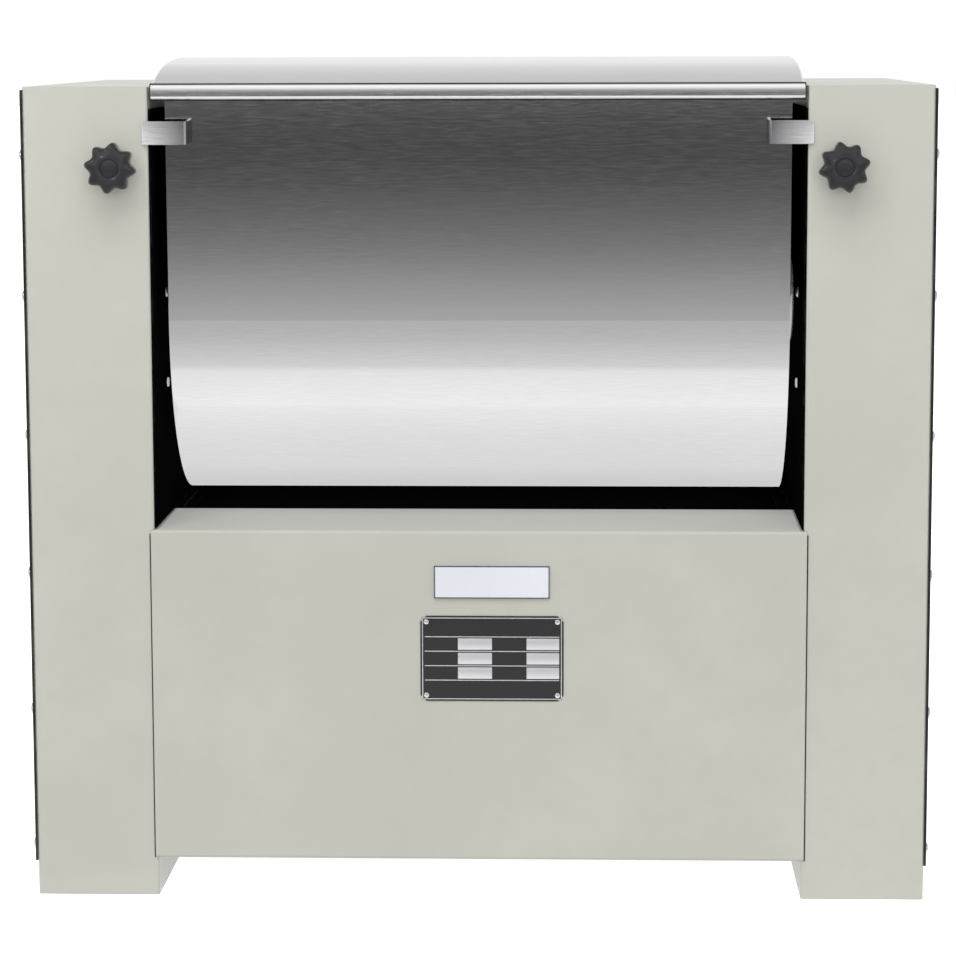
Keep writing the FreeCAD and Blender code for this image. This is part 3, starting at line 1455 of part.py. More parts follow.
def push_button(name, up):
    """A push button on a square stem. Local origin: on the tray's floor; outward is -X."""
    under = -value("button_ring_height - button_travel / 2 + fit_gap")
    crown = value("button_travel / 4")
    front = -value("button_reach")
    radius = value("button_radius")
    parts = [bar(16, radius, front + crown, under), taper(16, front + crown, radius, front, radius - crown)]
    stem = square_block(under, value("switch_sheet + button_stem_length"), value("button_stem_width"))
    button = stem.multiFuse(parts).removeSplitter()
    shape_node(name, button, TRAY_FLOOR, SWITCH_Y, f"{SWITCH_Z} + {up} * button_pitch / 2")


def button_rings():
    solids = []
    face = value(TRAY_FLOOR)
    start = face - value("button_ring_height")
    for up in SIDES.values():
        spot = (value(SWITCH_Y), value(f"{SWITCH_Z} + {up} * button_pitch / 2"))
        hole = bar(16, value("button_radius + fit_gap") / math.cos(math.pi / 16), start, face, *spot)
        solids.append(bar(16, value("button_ring_radius"), start, face, *spot).cut(hole))
    solids_node("button_rings", solids)


def switch_blocks():
    """Contact blocks behind the tray; each has a square well that takes its button's stem."""
    solids = []
    start = value(f"{TRAY_FLOOR} + switch_sheet")
    depth = value("button_stem_length + button_travel + 2 * fit_gap")
    for up in SIDES.values():
        spot = (value(SWITCH_Y), value(f"{SWITCH_Z} + {up} * button_pitch / 2"))
        block = square_block(start, start + value("switch_block_length"), value("switch_block_width"), *spot)
        well = square_block(start, start + depth, value("button_stem_width + 2 * running_gap"), *spot)
        solids.append(block.cut(well))
    solids_node("switch_blocks", solids)


# Cable gland in the rear panel

def cable_gland():
    """Hexagon, clamping dome and thread with a straight round bore. Local origin: on the rear panel's
    face, X out of the machine."""
    nut = value("gland_nut_thickness")
    reach = value("gland_reach")
    waist = reach * 0.75
    inner_end = -value("rear_sheet + gland_nut_thickness + gland_thread_end")
    wide = value("gland_flats * 0.46")
    parts = [
        bar(12, wide, nut, waist),
        taper(12, waist, wide, reach, value("gland_bore_radius + 2")),
        bar(12, value("gland_thread_radius - press_gap"), inner_end, 0),
    ]
    gland = bar(6, value("gland_flats / sqrt(3)"), 0, nut).multiFuse(parts)
    gland = gland.cut(along_x(inner_end, reach, value("gland_bore_radius"))).removeSplitter()
    shape_node("cable_gland", gland, "-gland_offset", REAR, "gland_height", X_TO_Y)


def gland_nut():
    start = -value("rear_sheet + gland_nut_thickness")
    end = -value("rear_sheet")
    nut = bar(6, value("gland_flats / sqrt(3)"), start, end)
    nut = nut.cut(bar(12, value("gland_thread_radius"), start, end))
    shape_node("gland_nut", nut, "-gland_offset", REAR, "gland_height", X_TO_Y)


# Make every piece

for side in SIDES:
    column(side)
    side_cover(side)
    inner_plate(side)
    star_knob(side)
side_cover_screws()
inner_plate_screws()
knob_studs()
front_panel()
base_deck()
rear_panel()
base_frame()
motor_housing()
motor_bolts()
motor_fan_cover()
motor_terminal_box()
motor_rotor()
motor_fan()
motor_pulley()
drive_belt()
driven_pulley()
countershaft()
bearing_cross_bar()
pinion()
main_gear()
bearing_units()
pivot_sleeves()
housing_bolts()
shaft_collars()
gear_retainer()
mixing_shaft()
trough()
stop_lugs()
lid()
lid_hinge_leaves()
trough_hinge_brackets()
lid_hinge_pins()
plates()
plate_rivets()
switch_panel()
push_button("start_button", 1)
push_button("stop_button", -1)
button_rings()
switch_blocks()
cable_gland()
gland_nut()

# Check and write every piece

document.recompute()
for thing in document.Objects:
    if "Invalid" in thing.State or "Error" in thing.State:
        raise RuntimeError(f"{thing.Name} did not compute")
for node in NODES:
    if node.Shape.isNull() or not node.Shape.isValid() or not node.Shape.Solids:
        raise RuntimeError(f"{node.Label} is not a sound solid")
os.makedirs("parts", exist_ok=True)
for node in NODES:
    node.Shape.exportStep(os.path.join("parts", f"{node.Label}.step"))
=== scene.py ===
import math

import bmesh
import bpy
from mathutils import Matrix, Vector


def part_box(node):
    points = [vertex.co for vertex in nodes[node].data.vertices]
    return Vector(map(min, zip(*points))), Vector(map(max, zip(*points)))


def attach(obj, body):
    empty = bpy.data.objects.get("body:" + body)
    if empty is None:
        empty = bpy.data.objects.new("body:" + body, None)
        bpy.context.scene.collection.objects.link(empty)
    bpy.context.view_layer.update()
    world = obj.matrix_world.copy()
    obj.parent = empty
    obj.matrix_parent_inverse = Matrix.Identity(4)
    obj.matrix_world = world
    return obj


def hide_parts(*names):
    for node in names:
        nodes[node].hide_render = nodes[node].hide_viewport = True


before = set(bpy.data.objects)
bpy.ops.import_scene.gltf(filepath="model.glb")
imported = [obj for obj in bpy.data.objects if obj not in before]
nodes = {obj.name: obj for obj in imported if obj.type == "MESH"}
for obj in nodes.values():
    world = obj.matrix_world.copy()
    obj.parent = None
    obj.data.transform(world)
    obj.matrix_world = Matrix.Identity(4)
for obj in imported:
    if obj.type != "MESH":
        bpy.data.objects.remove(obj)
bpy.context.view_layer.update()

# Camera: the photograph's place, turn and lens

CAMERA_PLACE = Vector((0.1178, -3.4710, 0.8641))
CAMERA_YAW = 0.0367
CAMERA_DIP = 0.1348
CAMERA_ROLL = -0.0027
FOCAL_PIXELS = 3231.75
IMAGE_PIXELS = 956
SENSOR = 36.0


def add_camera():
    """Stand the camera where the photograph was taken from."""
    forward = Vector((-math.sin(CAMERA_YAW) * math.cos(CAMERA_DIP),
                      math.cos(CAMERA_YAW) * math.cos(CAMERA_DIP), -math.sin(CAMERA_DIP)))
    right = Vector((math.cos(CAMERA_YAW), math.sin(CAMERA_YAW), 0))
    up = right.cross(forward)
    across = math.cos(CAMERA_ROLL) * right + math.sin(CAMERA_ROLL) * up
    upward = -math.sin(CAMERA_ROLL) * right + math.cos(CAMERA_ROLL) * up
    turn = Matrix((across, upward, -forward)).transposed().to_4x4()
    data = bpy.data.cameras.new("camera")
    data.sensor_width = SENSOR
    data.lens = FOCAL_PIXELS / IMAGE_PIXELS * SENSOR
    camera = bpy.data.objects.new("camera", data)
    camera.matrix_world = Matrix.Translation(CAMERA_PLACE) @ turn
    bpy.context.scene.collection.objects.link(camera)
    bpy.context.scene.camera = camera


add_camera()


# Materials

def tone(red, green, blue):
    """A colour given as it looks on a screen, turned into the linear values that shaders use."""
    def linear(level):
        level /= 255
        return level / 12.92 if level <= 0.04045 else ((level + 0.055) / 1.055) ** 2.4
    return (linear(red), linear(green), linear(blue), 1)


def shade(colour, factor):
    return (colour[0] * factor, colour[1] * factor, colour[2] * factor, 1)


class Recipe:
    """One procedural material while its nodes are being joined."""

    def __init__(self, name, **constants):
        self.material = bpy.data.materials.new(name)
        self.material.use_nodes = True
        self.tree = self.material.node_tree
        self.shader = self.tree.nodes["Principled BSDF"]
        for socket, number in constants.items():
            self.shader.inputs[socket.replace("_", " ")].default_value = number
        self.coordinates = self.add("ShaderNodeTexCoord")
        self.place = self.coordinates.outputs["Object"]
        self.bevel = None

    def add(self, kind, **settings):
        node = self.tree.nodes.new(kind)
        for name, setting in settings.items():
            setattr(node, name, setting)
        return node

    def feed(self, socket, source):
        if isinstance(source, bpy.types.NodeSocket):
            self.tree.links.new(source, socket)
        else:
            socket.default_value = source

    def stretched(self, stretch):
        mapping = self.add("ShaderNodeMapping")
        mapping.inputs["Scale"].default_value = stretch
        self.feed(mapping.inputs["Vector"], self.place)
        return mapping.outputs["Vector"]

    def noise(self, scale, detail=3.0, stretch=None):
        """Cloudy pattern from 0 to 1; scale counts its blobs in a metre."""
        texture = self.add("ShaderNodeTexNoise")
        self.feed(texture.inputs["Vector"], self.stretched(stretch) if stretch else self.place)
        texture.inputs["Scale"].default_value = scale
        texture.inputs["Detail"].default_value = detail
        return texture.outputs["Fac"]

    def spread(self, source, low, high, start=0.0, end=1.0):
        """Map low..high of a pattern to start..end, and hold it there."""
        node = self.add("ShaderNodeMapRange")
        self.feed(node.inputs["Value"], source)
        for name, number in (("From Min", low), ("From Max", high), ("To Min", start), ("To Max", end)):
            node.inputs[name].default_value = number
        return node.outputs["Result"]

    def work(self, operation, first, second=0.0):
        node = self.add("ShaderNodeMath", operation=operation)
        self.feed(node.inputs[0], first)
        self.feed(node.inputs[1], second)
        return node.outputs["Value"]

    def blend(self, factor, first, second):
        node = self.add("ShaderNodeMix", data_type="RGBA")
        self.feed(node.inputs["Factor"], factor)
        colours = [socket for socket in node.inputs if socket.type == "RGBA"]
        self.feed(colours[0], first)
        self.feed(colours[1], second)
        return next(socket for socket in node.outputs if socket.type == "RGBA")

    def edges(self, radius):
        """1 along sharp edges and 0 on open faces, from how far a rounded normal leans."""
        flat = self.add("ShaderNodeNewGeometry")
        dot = self.add("ShaderNodeVectorMath", operation="DOT_PRODUCT")
        self.feed(dot.inputs[0], self.rounded_normal(radius))
        self.feed(dot.inputs[1], flat.outputs["Normal"])
        return self.spread(dot.outputs["Value"], 0.98, 0.80)

    def facing(self, place):
        """1 on faces that look towards a place of the resting object and 0 on the others."""
        away = self.add("ShaderNodeVectorMath", operation="SUBTRACT")
        self.feed(away.inputs[0], self.place)
        away.inputs[1].default_value = place
        dot = self.add("ShaderNodeVectorMath", operation="DOT_PRODUCT")
        self.feed(dot.inputs[0], away.outputs["Vector"])
        self.feed(dot.inputs[1], self.coordinates.outputs["Normal"])
        return self.spread(dot.outputs["Value"], 0.004, -0.004)

    def relief(self, height, strength, depth, below=None):
        node = self.add("ShaderNodeBump")
        node.inputs["Strength"].default_value = strength
        node.inputs["Distance"].default_value = depth
        self.feed(node.inputs["Height"], height)
        if below is not None:
            self.feed(node.inputs["Normal"], below)
        return node.outputs["Normal"]

    def rounded_normal(self, radius):
        """The normal with sharp edges rounded off; one node serves the whole material."""
        if self.bevel is None:
            self.bevel = self.add("ShaderNodeBevel", samples=4)
            self.bevel.inputs["Radius"].default_value = radius
        return self.bevel.outputs["Normal"]

    def finish(self, colour, roughness, normal=None):
        self.feed(self.shader.inputs["Base Color"], colour)
        self.feed(self.shader.inputs["Roughness"], roughness)
        if normal is not None:
            self.feed(self.shader.inputs["Normal"], normal)
        return self.material


def enamel(name, colour, roughness=0.36, peel=0.25, wear=0.35, coat=0.25, shine=0.5):
    """Sprayed and baked paint: soft cloudiness, orange peel and rubbed edges."""
    bare = tone(150, 148, 142)
    recipe = Recipe(name, Coat_Weight=coat, Coat_Roughness=0.18, Metallic=0.0, Specular_IOR_Level=shine)
    cloud = recipe.noise(3.5, 4)
    fine = recipe.noise(60, 3)
    colour_now = recipe.blend(recipe.spread(cloud, 0.35, 0.65), shade(colour, 0.965), shade(colour, 1.03))
    colour_now = recipe.blend(recipe.spread(fine, 0.45, 0.7, 0, 0.25), colour_now, shade(colour, 0.93))
    rub = recipe.work("MULTIPLY", recipe.edges(0.0016), recipe.spread(recipe.noise(38, 5), 0.48, 0.62))
    colour_now = recipe.blend(recipe.work("MULTIPLY", rub, wear), colour_now, bare)
    rough = recipe.spread(recipe.noise(14, 4), 0.3, 0.7, roughness - 0.05, roughness + 0.07)
    rough = recipe.work("ADD", rough, recipe.work("MULTIPLY", rub, 0.15))
    normal = recipe.relief(recipe.noise(420, 2), peel, 0.00018, recipe.rounded_normal(0.0012))
    return recipe.finish(colour_now, rough, normal)


def steel(name, colour, roughness, grain=(1, 1, 40), grain_scale=55, depth=0.00006, smudge=0.05, waves=0.0,
          satin=None):
    """Bright metal with a drawn grain, faint smudges and, where asked, slow waves of rolled sheet.

    Satin is a place inside a vessel and the roughness of the walls that look towards it.
    """
    recipe = Recipe(name, Metallic=1.0)
    streak = recipe.noise(grain_scale, 6, grain)
    cloud = recipe.noise(5, 4)
    colour_now = recipe.blend(recipe.spread(streak, 0.3, 0.7), shade(colour, 0.95), shade(colour, 1.03))
    colour_now = recipe.blend(recipe.spread(cloud, 0.45, 0.75, 0, 0.5), colour_now, shade(colour, 0.93))
    rough = recipe.spread(streak, 0.3, 0.7, roughness - 0.02, roughness + 0.03)
    rough = recipe.work("ADD", rough, recipe.spread(recipe.noise(9, 5), 0.5, 0.75, 0, smudge))
    if satin:
        rough = recipe.work("MAXIMUM", rough, recipe.work("MULTIPLY", recipe.facing(satin[0]), satin[1]))
    normal = recipe.relief(streak, 0.35, depth, recipe.rounded_normal(0.0007))
    if waves:
        normal = recipe.relief(recipe.noise(2.2, 1), waves, 0.004, normal)
    return recipe.finish(colour_now, rough, normal)


# Length in metres over which the lug's painted reflection goes from dark to bright
LUG_SHEEN_SPAN = 0.040


def lug_steel_painted_sheen():
    """Bright strip with a painted reflection: its colour darkens from the outer end towards the inner end.
    """
    recipe = Recipe("lug_steel_painted_sheen", Metallic=1.0)
    split = recipe.add("ShaderNodeSeparateXYZ")
    recipe.feed(split.inputs["Vector"], recipe.place)
    out = recipe.work("ABSOLUTE", split.outputs["X"])
    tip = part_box("stop_lugs")[1].x
    # Painted reflection: the colour runs from dark at the inner end to bright at the outer end
    shine = recipe.spread(out, tip - LUG_SHEEN_SPAN, tip)
    streak = recipe.noise(55, 6, (1, 24, 24))
    colour_now = recipe.blend(shine, (0.24, 0.24, 0.25, 1), (0.95, 0.95, 0.95, 1))
    colour_now = recipe.blend(recipe.spread(streak, 0.3, 0.7, 0, 0.2), colour_now, (0.5, 0.5, 0.5, 1))
    rough = recipe.spread(streak, 0.3, 0.7, 0.07, 0.10)
    normal = recipe.relief(streak, 0.3, 0.00001, recipe.rounded_normal(0.0009))
    return recipe.finish(colour_now, rough, normal)


def casting(name, colour):
    """Sand-cast iron under thin paint: pitted skin, darker hollows, oil film."""
    recipe = Recipe(name, Metallic=0.35, Coat_Weight=0.1, Coat_Roughness=0.3)
    pits = recipe.noise(160, 5)
    stain = recipe.noise(11, 5)
    colour_now = recipe.blend(recipe.spread(stain, 0.35, 0.7), colour, shade(colour, 0.6))
    rubbed = recipe.work("MULTIPLY", recipe.edges(0.0015), 0.7)
    colour_now = recipe.blend(rubbed, colour_now, tone(150, 150, 150))
    rough = recipe.spread(pits, 0.3, 0.7, 0.42, 0.62)
    normal = recipe.relief(pits, 0.5, 0.0005, recipe.rounded_normal(0.001))
    return recipe.finish(colour_now, rough, normal)


def moulded(name, colour, roughness=0.42, texture=0.35, glaze=0.0, grain_scale=900):
    """Moulded plastic with a fine spark-eroded skin, slightly polished edges and a painted highlight along
    them.
    """
    recipe = Recipe(name, Metallic=0.0, Coat_Weight=glaze, Coat_Roughness=0.12)
    skin = recipe.noise(grain_scale, 2)
    cloud = recipe.noise(25, 3)
    edge_polish_and_highlight = recipe.edges(0.0012)
    colour_now = recipe.blend(recipe.spread(cloud, 0.35, 0.65), shade(colour, 0.88), shade(colour, 1.12))
    # Painted highlight: the colour along the edges is blended towards a lighter copy of the plastic; the
    # polish is the lower roughness there
    colour_now = recipe.blend(recipe.work("MULTIPLY", edge_polish_and_highlight, 0.35), colour_now, shade(colour, 2.2))
    rough = recipe.spread(cloud, 0.3, 0.7, roughness - 0.04, roughness + 0.06)
    rough = recipe.work("SUBTRACT", rough, recipe.work("MULTIPLY", edge_polish_and_highlight, 0.1))
    normal = recipe.relief(skin, texture, 0.0001, recipe.rounded_normal(0.0008))
    return recipe.finish(colour_now, rough, normal)


def rubber(name, colour):
    """Matt rubber with a fabric-like tooth and grey dust."""
    recipe = Recipe(name, Metallic=0.0)
    tooth = recipe.noise(700, 3)
    dust = recipe.noise(18, 5)
    colour_now = recipe.blend(recipe.spread(dust, 0.5, 0.8, 0, 0.5), colour, tone(92, 90, 86))
    rough = recipe.spread(tooth, 0.3, 0.7, 0.68, 0.85)
    return recipe.finish(colour_now, rough, recipe.relief(tooth, 0.4, 0.0002))


def dress(material, *names):
    for name in names:
        slots = nodes[name].data.materials
        slots.clear()
        slots.append(material)


PAINT = tone(191, 191, 181)
dress(enamel("column_enamel", PAINT), "left_column", "right_column")
dress(enamel("cover_enamel", shade(PAINT, 0.98)), "left_side_cover", "right_side_cover")
dress(enamel("panel_enamel", shade(PAINT, 0.975)), "front_panel")
rear_enamel = enamel("rear_enamel", shade(PAINT, 0.97), roughness=0.4)
dress(rear_enamel, "rear_panel")
dress(enamel("black_enamel", tone(9, 9, 10), roughness=0.6, wear=0.12, coat=0.0, shine=0.0),
      "left_inner_plate", "right_inner_plate")
# Near-black deck without sheen: painted shade for the dark space under the trough and behind the shelf
shade_black_enamel = enamel("deck_painted_shade", tone(12, 12, 13), roughness=0.6, wear=0.2, coat=0.0, shine=0.0)
dress(shade_black_enamel, "base_deck")
dress(enamel("chassis_enamel", tone(52, 53, 55), roughness=0.5, wear=0.5),
      "base_frame", "bearing_cross_bar")
SHAFT_MIDDLE = (0, -0.042, 0.592)
trough_steel = steel("trough_steel", (0.78, 0.78, 0.785, 1), 0.075, grain=(1, 24, 24), depth=0.000002,
                     smudge=0.0, waves=0.03, satin=(SHAFT_MIDDLE, 0.30))
dress(trough_steel, "trough", "trough_hinge_brackets")
dress(lug_steel_painted_sheen(), "stop_lugs")
lid_steel = steel("lid_steel", (0.86, 0.86, 0.865, 1), 0.12, grain=(1, 30, 30), depth=0.00002,
                  waves=0.04)
dress(lid_steel, "lid", "lid_hinge_leaves")
dress(steel("mixer_steel", (0.70, 0.70, 0.71, 1), 0.22, grain=(20, 3, 3), smudge=0.10), "mixing_shaft")
dress(steel("pin_steel", (0.72, 0.72, 0.72, 1), 0.2, grain=(2, 30, 30)), "lid_hinge_pins")
screw_zinc = steel("zinc_screws", (0.74, 0.74, 0.76, 1), 0.24, grain=(12, 12, 12), grain_scale=120,
                   smudge=0.12)
dress(steel("bolt_zinc", (0.66, 0.67, 0.70, 1), 0.3, grain=(9, 9, 9), grain_scale=150, smudge=0.14),
      "housing_bolts", "motor_bolts", "knob_studs", "gear_retainer")
rivet_metal = steel("rivet_metal", (0.8, 0.8, 0.8, 1), 0.2, grain=(8, 8, 8), grain_scale=300)
dress(steel("ground_steel", (0.62, 0.62, 0.63, 1), 0.2, grain=(40, 2, 2), grain_scale=40),
      "countershaft", "motor_rotor", "shaft_collars", "pivot_sleeves")
dress(steel("gear_steel", (0.45, 0.44, 0.42, 1), 0.32, grain=(30, 6, 6), smudge=0.16),
      "main_gear", "pinion")
dress(casting("housing_iron", tone(70, 72, 74)), "bearing_units")
dress(casting("pulley_iron", tone(88, 88, 88)), "driven_pulley", "motor_pulley")
dress(enamel("motor_enamel", tone(66, 88, 112), roughness=0.42, peel=0.4, wear=0.5), "motor_housing",
      "motor_terminal_box")
dress(enamel("fan_cover_enamel", tone(60, 82, 106), roughness=0.4, wear=0.4), "motor_fan_cover")
dress(rubber("belt_rubber", tone(30, 30, 30)), "drive_belt")
knob_plastic = moulded("knob_plastic", tone(24, 23, 29), roughness=0.34, texture=0.18, glaze=0.35)
dress(moulded("fan_plastic", tone(40, 42, 44)), "motor_fan")
dress(moulded("tray_plastic", tone(42, 42, 44), roughness=0.5), "switch_panel")
ring_plastic = moulded("ring_plastic", tone(120, 122, 124), roughness=0.3)
start_green = moulded("start_green", tone(24, 122, 58), roughness=0.28, texture=0.12, glaze=0.5)
stop_red = moulded("stop_red", tone(186, 30, 26), roughness=0.28, texture=0.12, glaze=0.5)
dress(moulded("block_plastic", tone(150, 150, 146)), "switch_blocks")
gland_plastic = moulded("gland_plastic", tone(34, 34, 36))
dress(gland_plastic, "gland_nut")
# Black rubber for thin strips that paint shadow lines in joints and round the lid's hem
shadow_line_rubber = rubber("shadow_line_rubber", tone(12, 12, 12))
hem_steel = steel("hem_steel", (0.93, 0.93, 0.93, 1), 0.06, grain=(1, 30, 30), depth=0.000006,
                  smudge=0.01)
dress(enamel("badge_finish", tone(226, 228, 236), roughness=0.22, peel=0.1, wear=0.1, coat=0.5),
      "badge_plate")
badge_edge = enamel("badge_edge", tone(72, 74, 92), roughness=0.3, peel=0.1, wear=0.2, coat=0.3)
dress(enamel("rating_finish", tone(24, 24, 27), roughness=0.3, peel=0.1, wear=0.2, coat=0.3),
      "rating_plate")
rating_print = steel("rating_print", (0.82, 0.82, 0.84, 1), 0.42, grain=(60, 2, 60), grain_scale=30,
                     smudge=0.08)


# Small round pieces, in place of the source's straight-sided ones

SIGNS = (-1, 1)
SMOOTH_ANGLE = math.radians(34)
FRAME_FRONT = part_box("left_column")[0].y
MILLIMETRE = 0.001


def plain_object(name, mesh):
    thing = bpy.data.objects.new(name, mesh)
    bpy.context.scene.collection.objects.link(thing)
    return thing


def shaded_mesh(name, shape, material):
    bmesh.ops.recalc_face_normals(shape, faces=shape.faces)
    mesh = bpy.data.meshes.new(name)
    shape.to_mesh(mesh)
    shape.free()
    mesh.polygons.foreach_set("use_smooth", [True] * len(mesh.polygons))
    mesh.set_sharp_from_angle(angle=SMOOTH_ANGLE)
    mesh.materials.append(material)
    return mesh


def add_piece(name, shape, material, body, slot, *replaced):
    piece = plain_object(name, shaded_mesh(name, shape, material))
    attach(piece, body)
    if replaced:
        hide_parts(*replaced)


def join_rings(shape, rings, closed=False):
    """Skin a row of rings; a ring of one corner closes an end, and a closed row meets its start again."""
    pairs = list(zip(rings, rings[1:]))
    if closed:
        pairs.append((rings[-1], rings[0]))
    for first, second in pairs:
        count = max(len(first), len(second))
        for step in range(count):
            after = (step + 1) % count
            corners = [first[step % len(first)], first[after % len(first)],
                       second[after % len(second)], second[step % len(second)]]
            shape.faces.new(list(dict.fromkeys(corners)))


def lathe(shape, place, direction, profile, segments=40, closed=False):
    """Turn (distance along, radius) points, in millimetres, about a line through a place."""
    line = Vector(direction).normalized()
    side = line.orthogonal().normalized()
    rise = line.cross(side)
    rings = []
    for distance, radius in profile:
        middle = Vector(place) + line * distance * MILLIMETRE
        count = segments if radius else 1
        angles = [2 * math.pi * step / segments for step in range(count)]
        reach = radius * MILLIMETRE
        rings.append([shape.verts.new(middle + reach * (math.cos(angle) * side + math.sin(angle) * rise))
                      for angle in angles])
    join_rings(shape, rings, closed)


def slab(shape, low, high, edge):
    """A box between two corners with its edges rounded."""
    low, high = Vector(low), Vector(high)
    made = bmesh.ops.create_cube(shape, size=1)["verts"]
    for vert in made:
        share = vert.co + Vector((0.5, 0.5, 0.5))
        vert.co = Vector([low[axis] + share[axis] * (high[axis] - low[axis]) for axis in range(3)])
    edges = list({line for vert in made for line in vert.link_edges})
    bmesh.ops.bevel(shape, geom=edges, offset=edge, segments=2, affect="EDGES", profile=0.5)


def solids_of(name):
    """Lowest and highest corner of each separate solid of a node."""
    shape = bmesh.new()
    shape.from_mesh(nodes[name].data)
    bmesh.ops.remove_doubles(shape, verts=shape.verts, dist=1e-6)
    boxes = []
    seen = set()
    for start in shape.verts:
        if start in seen:
            continue
        group = [start]
        seen.add(start)
        for vert in group:
            for edge in vert.link_edges:
                other = edge.other_vert(vert)
                if other not in seen:
                    seen.add(other)
                    group.append(other)
        places = [vert.co for vert in group]
        boxes.append((Vector([min(place[axis] for place in places) for axis in range(3)]),
                      Vector([max(place[axis] for place in places) for axis in range(3)])))
    shape.free()
    return sorted(boxes, key=lambda box: tuple(box[0]))


def seats(name, direction):
    """Where the heads of a node meet what they hold, and which way each one looks."""
    spots = []
    for low, high in solids_of(name):
        middle = (low + high) / 2
        out = direction(middle)
        height = sum(abs(out[axis]) * (high[axis] - low[axis]) for axis in range(3))
        spots.append((middle - out * height / 2, out))
    return spots


def outward(middle):
    return Vector((math.copysign(1, middle.x), 0, 0))


def inward(middle):
    return -outward(middle)


def forward(middle):
    return Vector((0, -1, 0))


def cut_out(solid, knife):
    """A mesh with another one's solid taken out of it."""
    whole = plain_object("whole", solid)
    tool = plain_object("knife", knife)
    cut = whole.modifiers.new("cut", "BOOLEAN")
    cut.operation = "DIFFERENCE"
    cut.solver = "EXACT"
    cut.object = tool
    result = bpy.data.meshes.new_from_object(whole.evaluated_get(bpy.context.evaluated_depsgraph_get()))
    bpy.data.objects.remove(whole)
    bpy.data.objects.remove(tool)
    return result


def domed(radius, height):
    """Profile of a pan head, from its seat to the middle of its crown."""
    shares = ((0, 1), (0.35, 1), (0.62, 0.955), (0.8, 0.83), (0.93, 0.6), (0.985, 0.3), (1, 0))
    return [(0, 0)] + [(height * up, radius * out) for up, out in shares]


def screw_head(radius, height, material):
    """Pan head with a cross recess, seated at the origin and looking up."""
    head = bmesh.new()
    lathe(head, (0, 0, 0), (0, 0, 1), domed(radius, height))
    knife = bmesh.new()
    long, thin = radius * 0.55 * MILLIMETRE, radius * 0.11 * MILLIMETRE
    floor, top = height * 0.35 * MILLIMETRE, height * 1.5 * MILLIMETRE
    slab(knife, (-long, -thin, floor), (long, thin, top), thin * 0.2)
    bar = shaded_mesh("recess_bar", knife, material)
    crossing = bmesh.new()
    slab(crossing, (-thin, -long, floor), (thin, long, top), thin * 0.2)
    slotted = cut_out(shaded_mesh("head", head, material), bar)
    return cut_out(slotted, shaded_mesh("recess_cross", crossing, material))


def scatter(mesh, spots, spin=1.13):
    """Copies of a small mesh at each seat, each turned a little further than the last."""
    shape = bmesh.new()
    for number, (place, out) in enumerate(spots):
        known = len(shape.verts)
        shape.from_mesh(mesh)
        shape.verts.ensure_lookup_table()
        turn = Vector((0, 0, 1)).rotation_difference(out).to_matrix().to_4x4()
        move = Matrix.Translation(place) @ turn @ Matrix.Rotation(spin * number, 4, "Z")
        bmesh.ops.transform(shape, matrix=move, verts=shape.verts[known:])
    return shape


def add_screws():
    head = screw_head(6.0, 3.0, screw_zinc)
    add_piece("cover_screw_heads", scatter(head, seats("side_cover_screws", outward)), screw_zinc, "frame",
              "fastener_steel", "side_cover_screws")
    head = screw_head(5.0, 2.2, screw_zinc)
    add_piece("plate_screw_heads", scatter(head, seats("inner_plate_screws", inward)), screw_zinc, "frame",
              "fastener_steel", "inner_plate_screws")
    rivet = bmesh.new()
    lathe(rivet, (0, 0, 0), (0, 0, 1), domed(2.7, 1.3), 24)
    rivets = scatter(shaded_mesh("rivet", rivet, rivet_metal), seats("plate_rivets", forward))
    add_piece("rating_rivets", rivets, rivet_metal, "frame", "fastener_steel", "plate_rivets")


# Star knobs

KNOB_TURN = {"left": math.radians(8.2), "right": math.radians(-12.5)}
KNOB_LOBES = 8
KNOB_STEPS = 18
KNOB_MEAN = 22.6
KNOB_SWING = 2.55
KNOB_POINT = 0.15
KNOB_BACK = 18.0
KNOB_FRONT = 38.0


def lobed(angle):
    """Round lobes with hollows between them, as the radius in millimetres at an angle from a tip."""
    wave = KNOB_LOBES * angle
    return KNOB_MEAN + KNOB_SWING * math.cos(wave) + KNOB_POINT * math.cos(2 * wave)


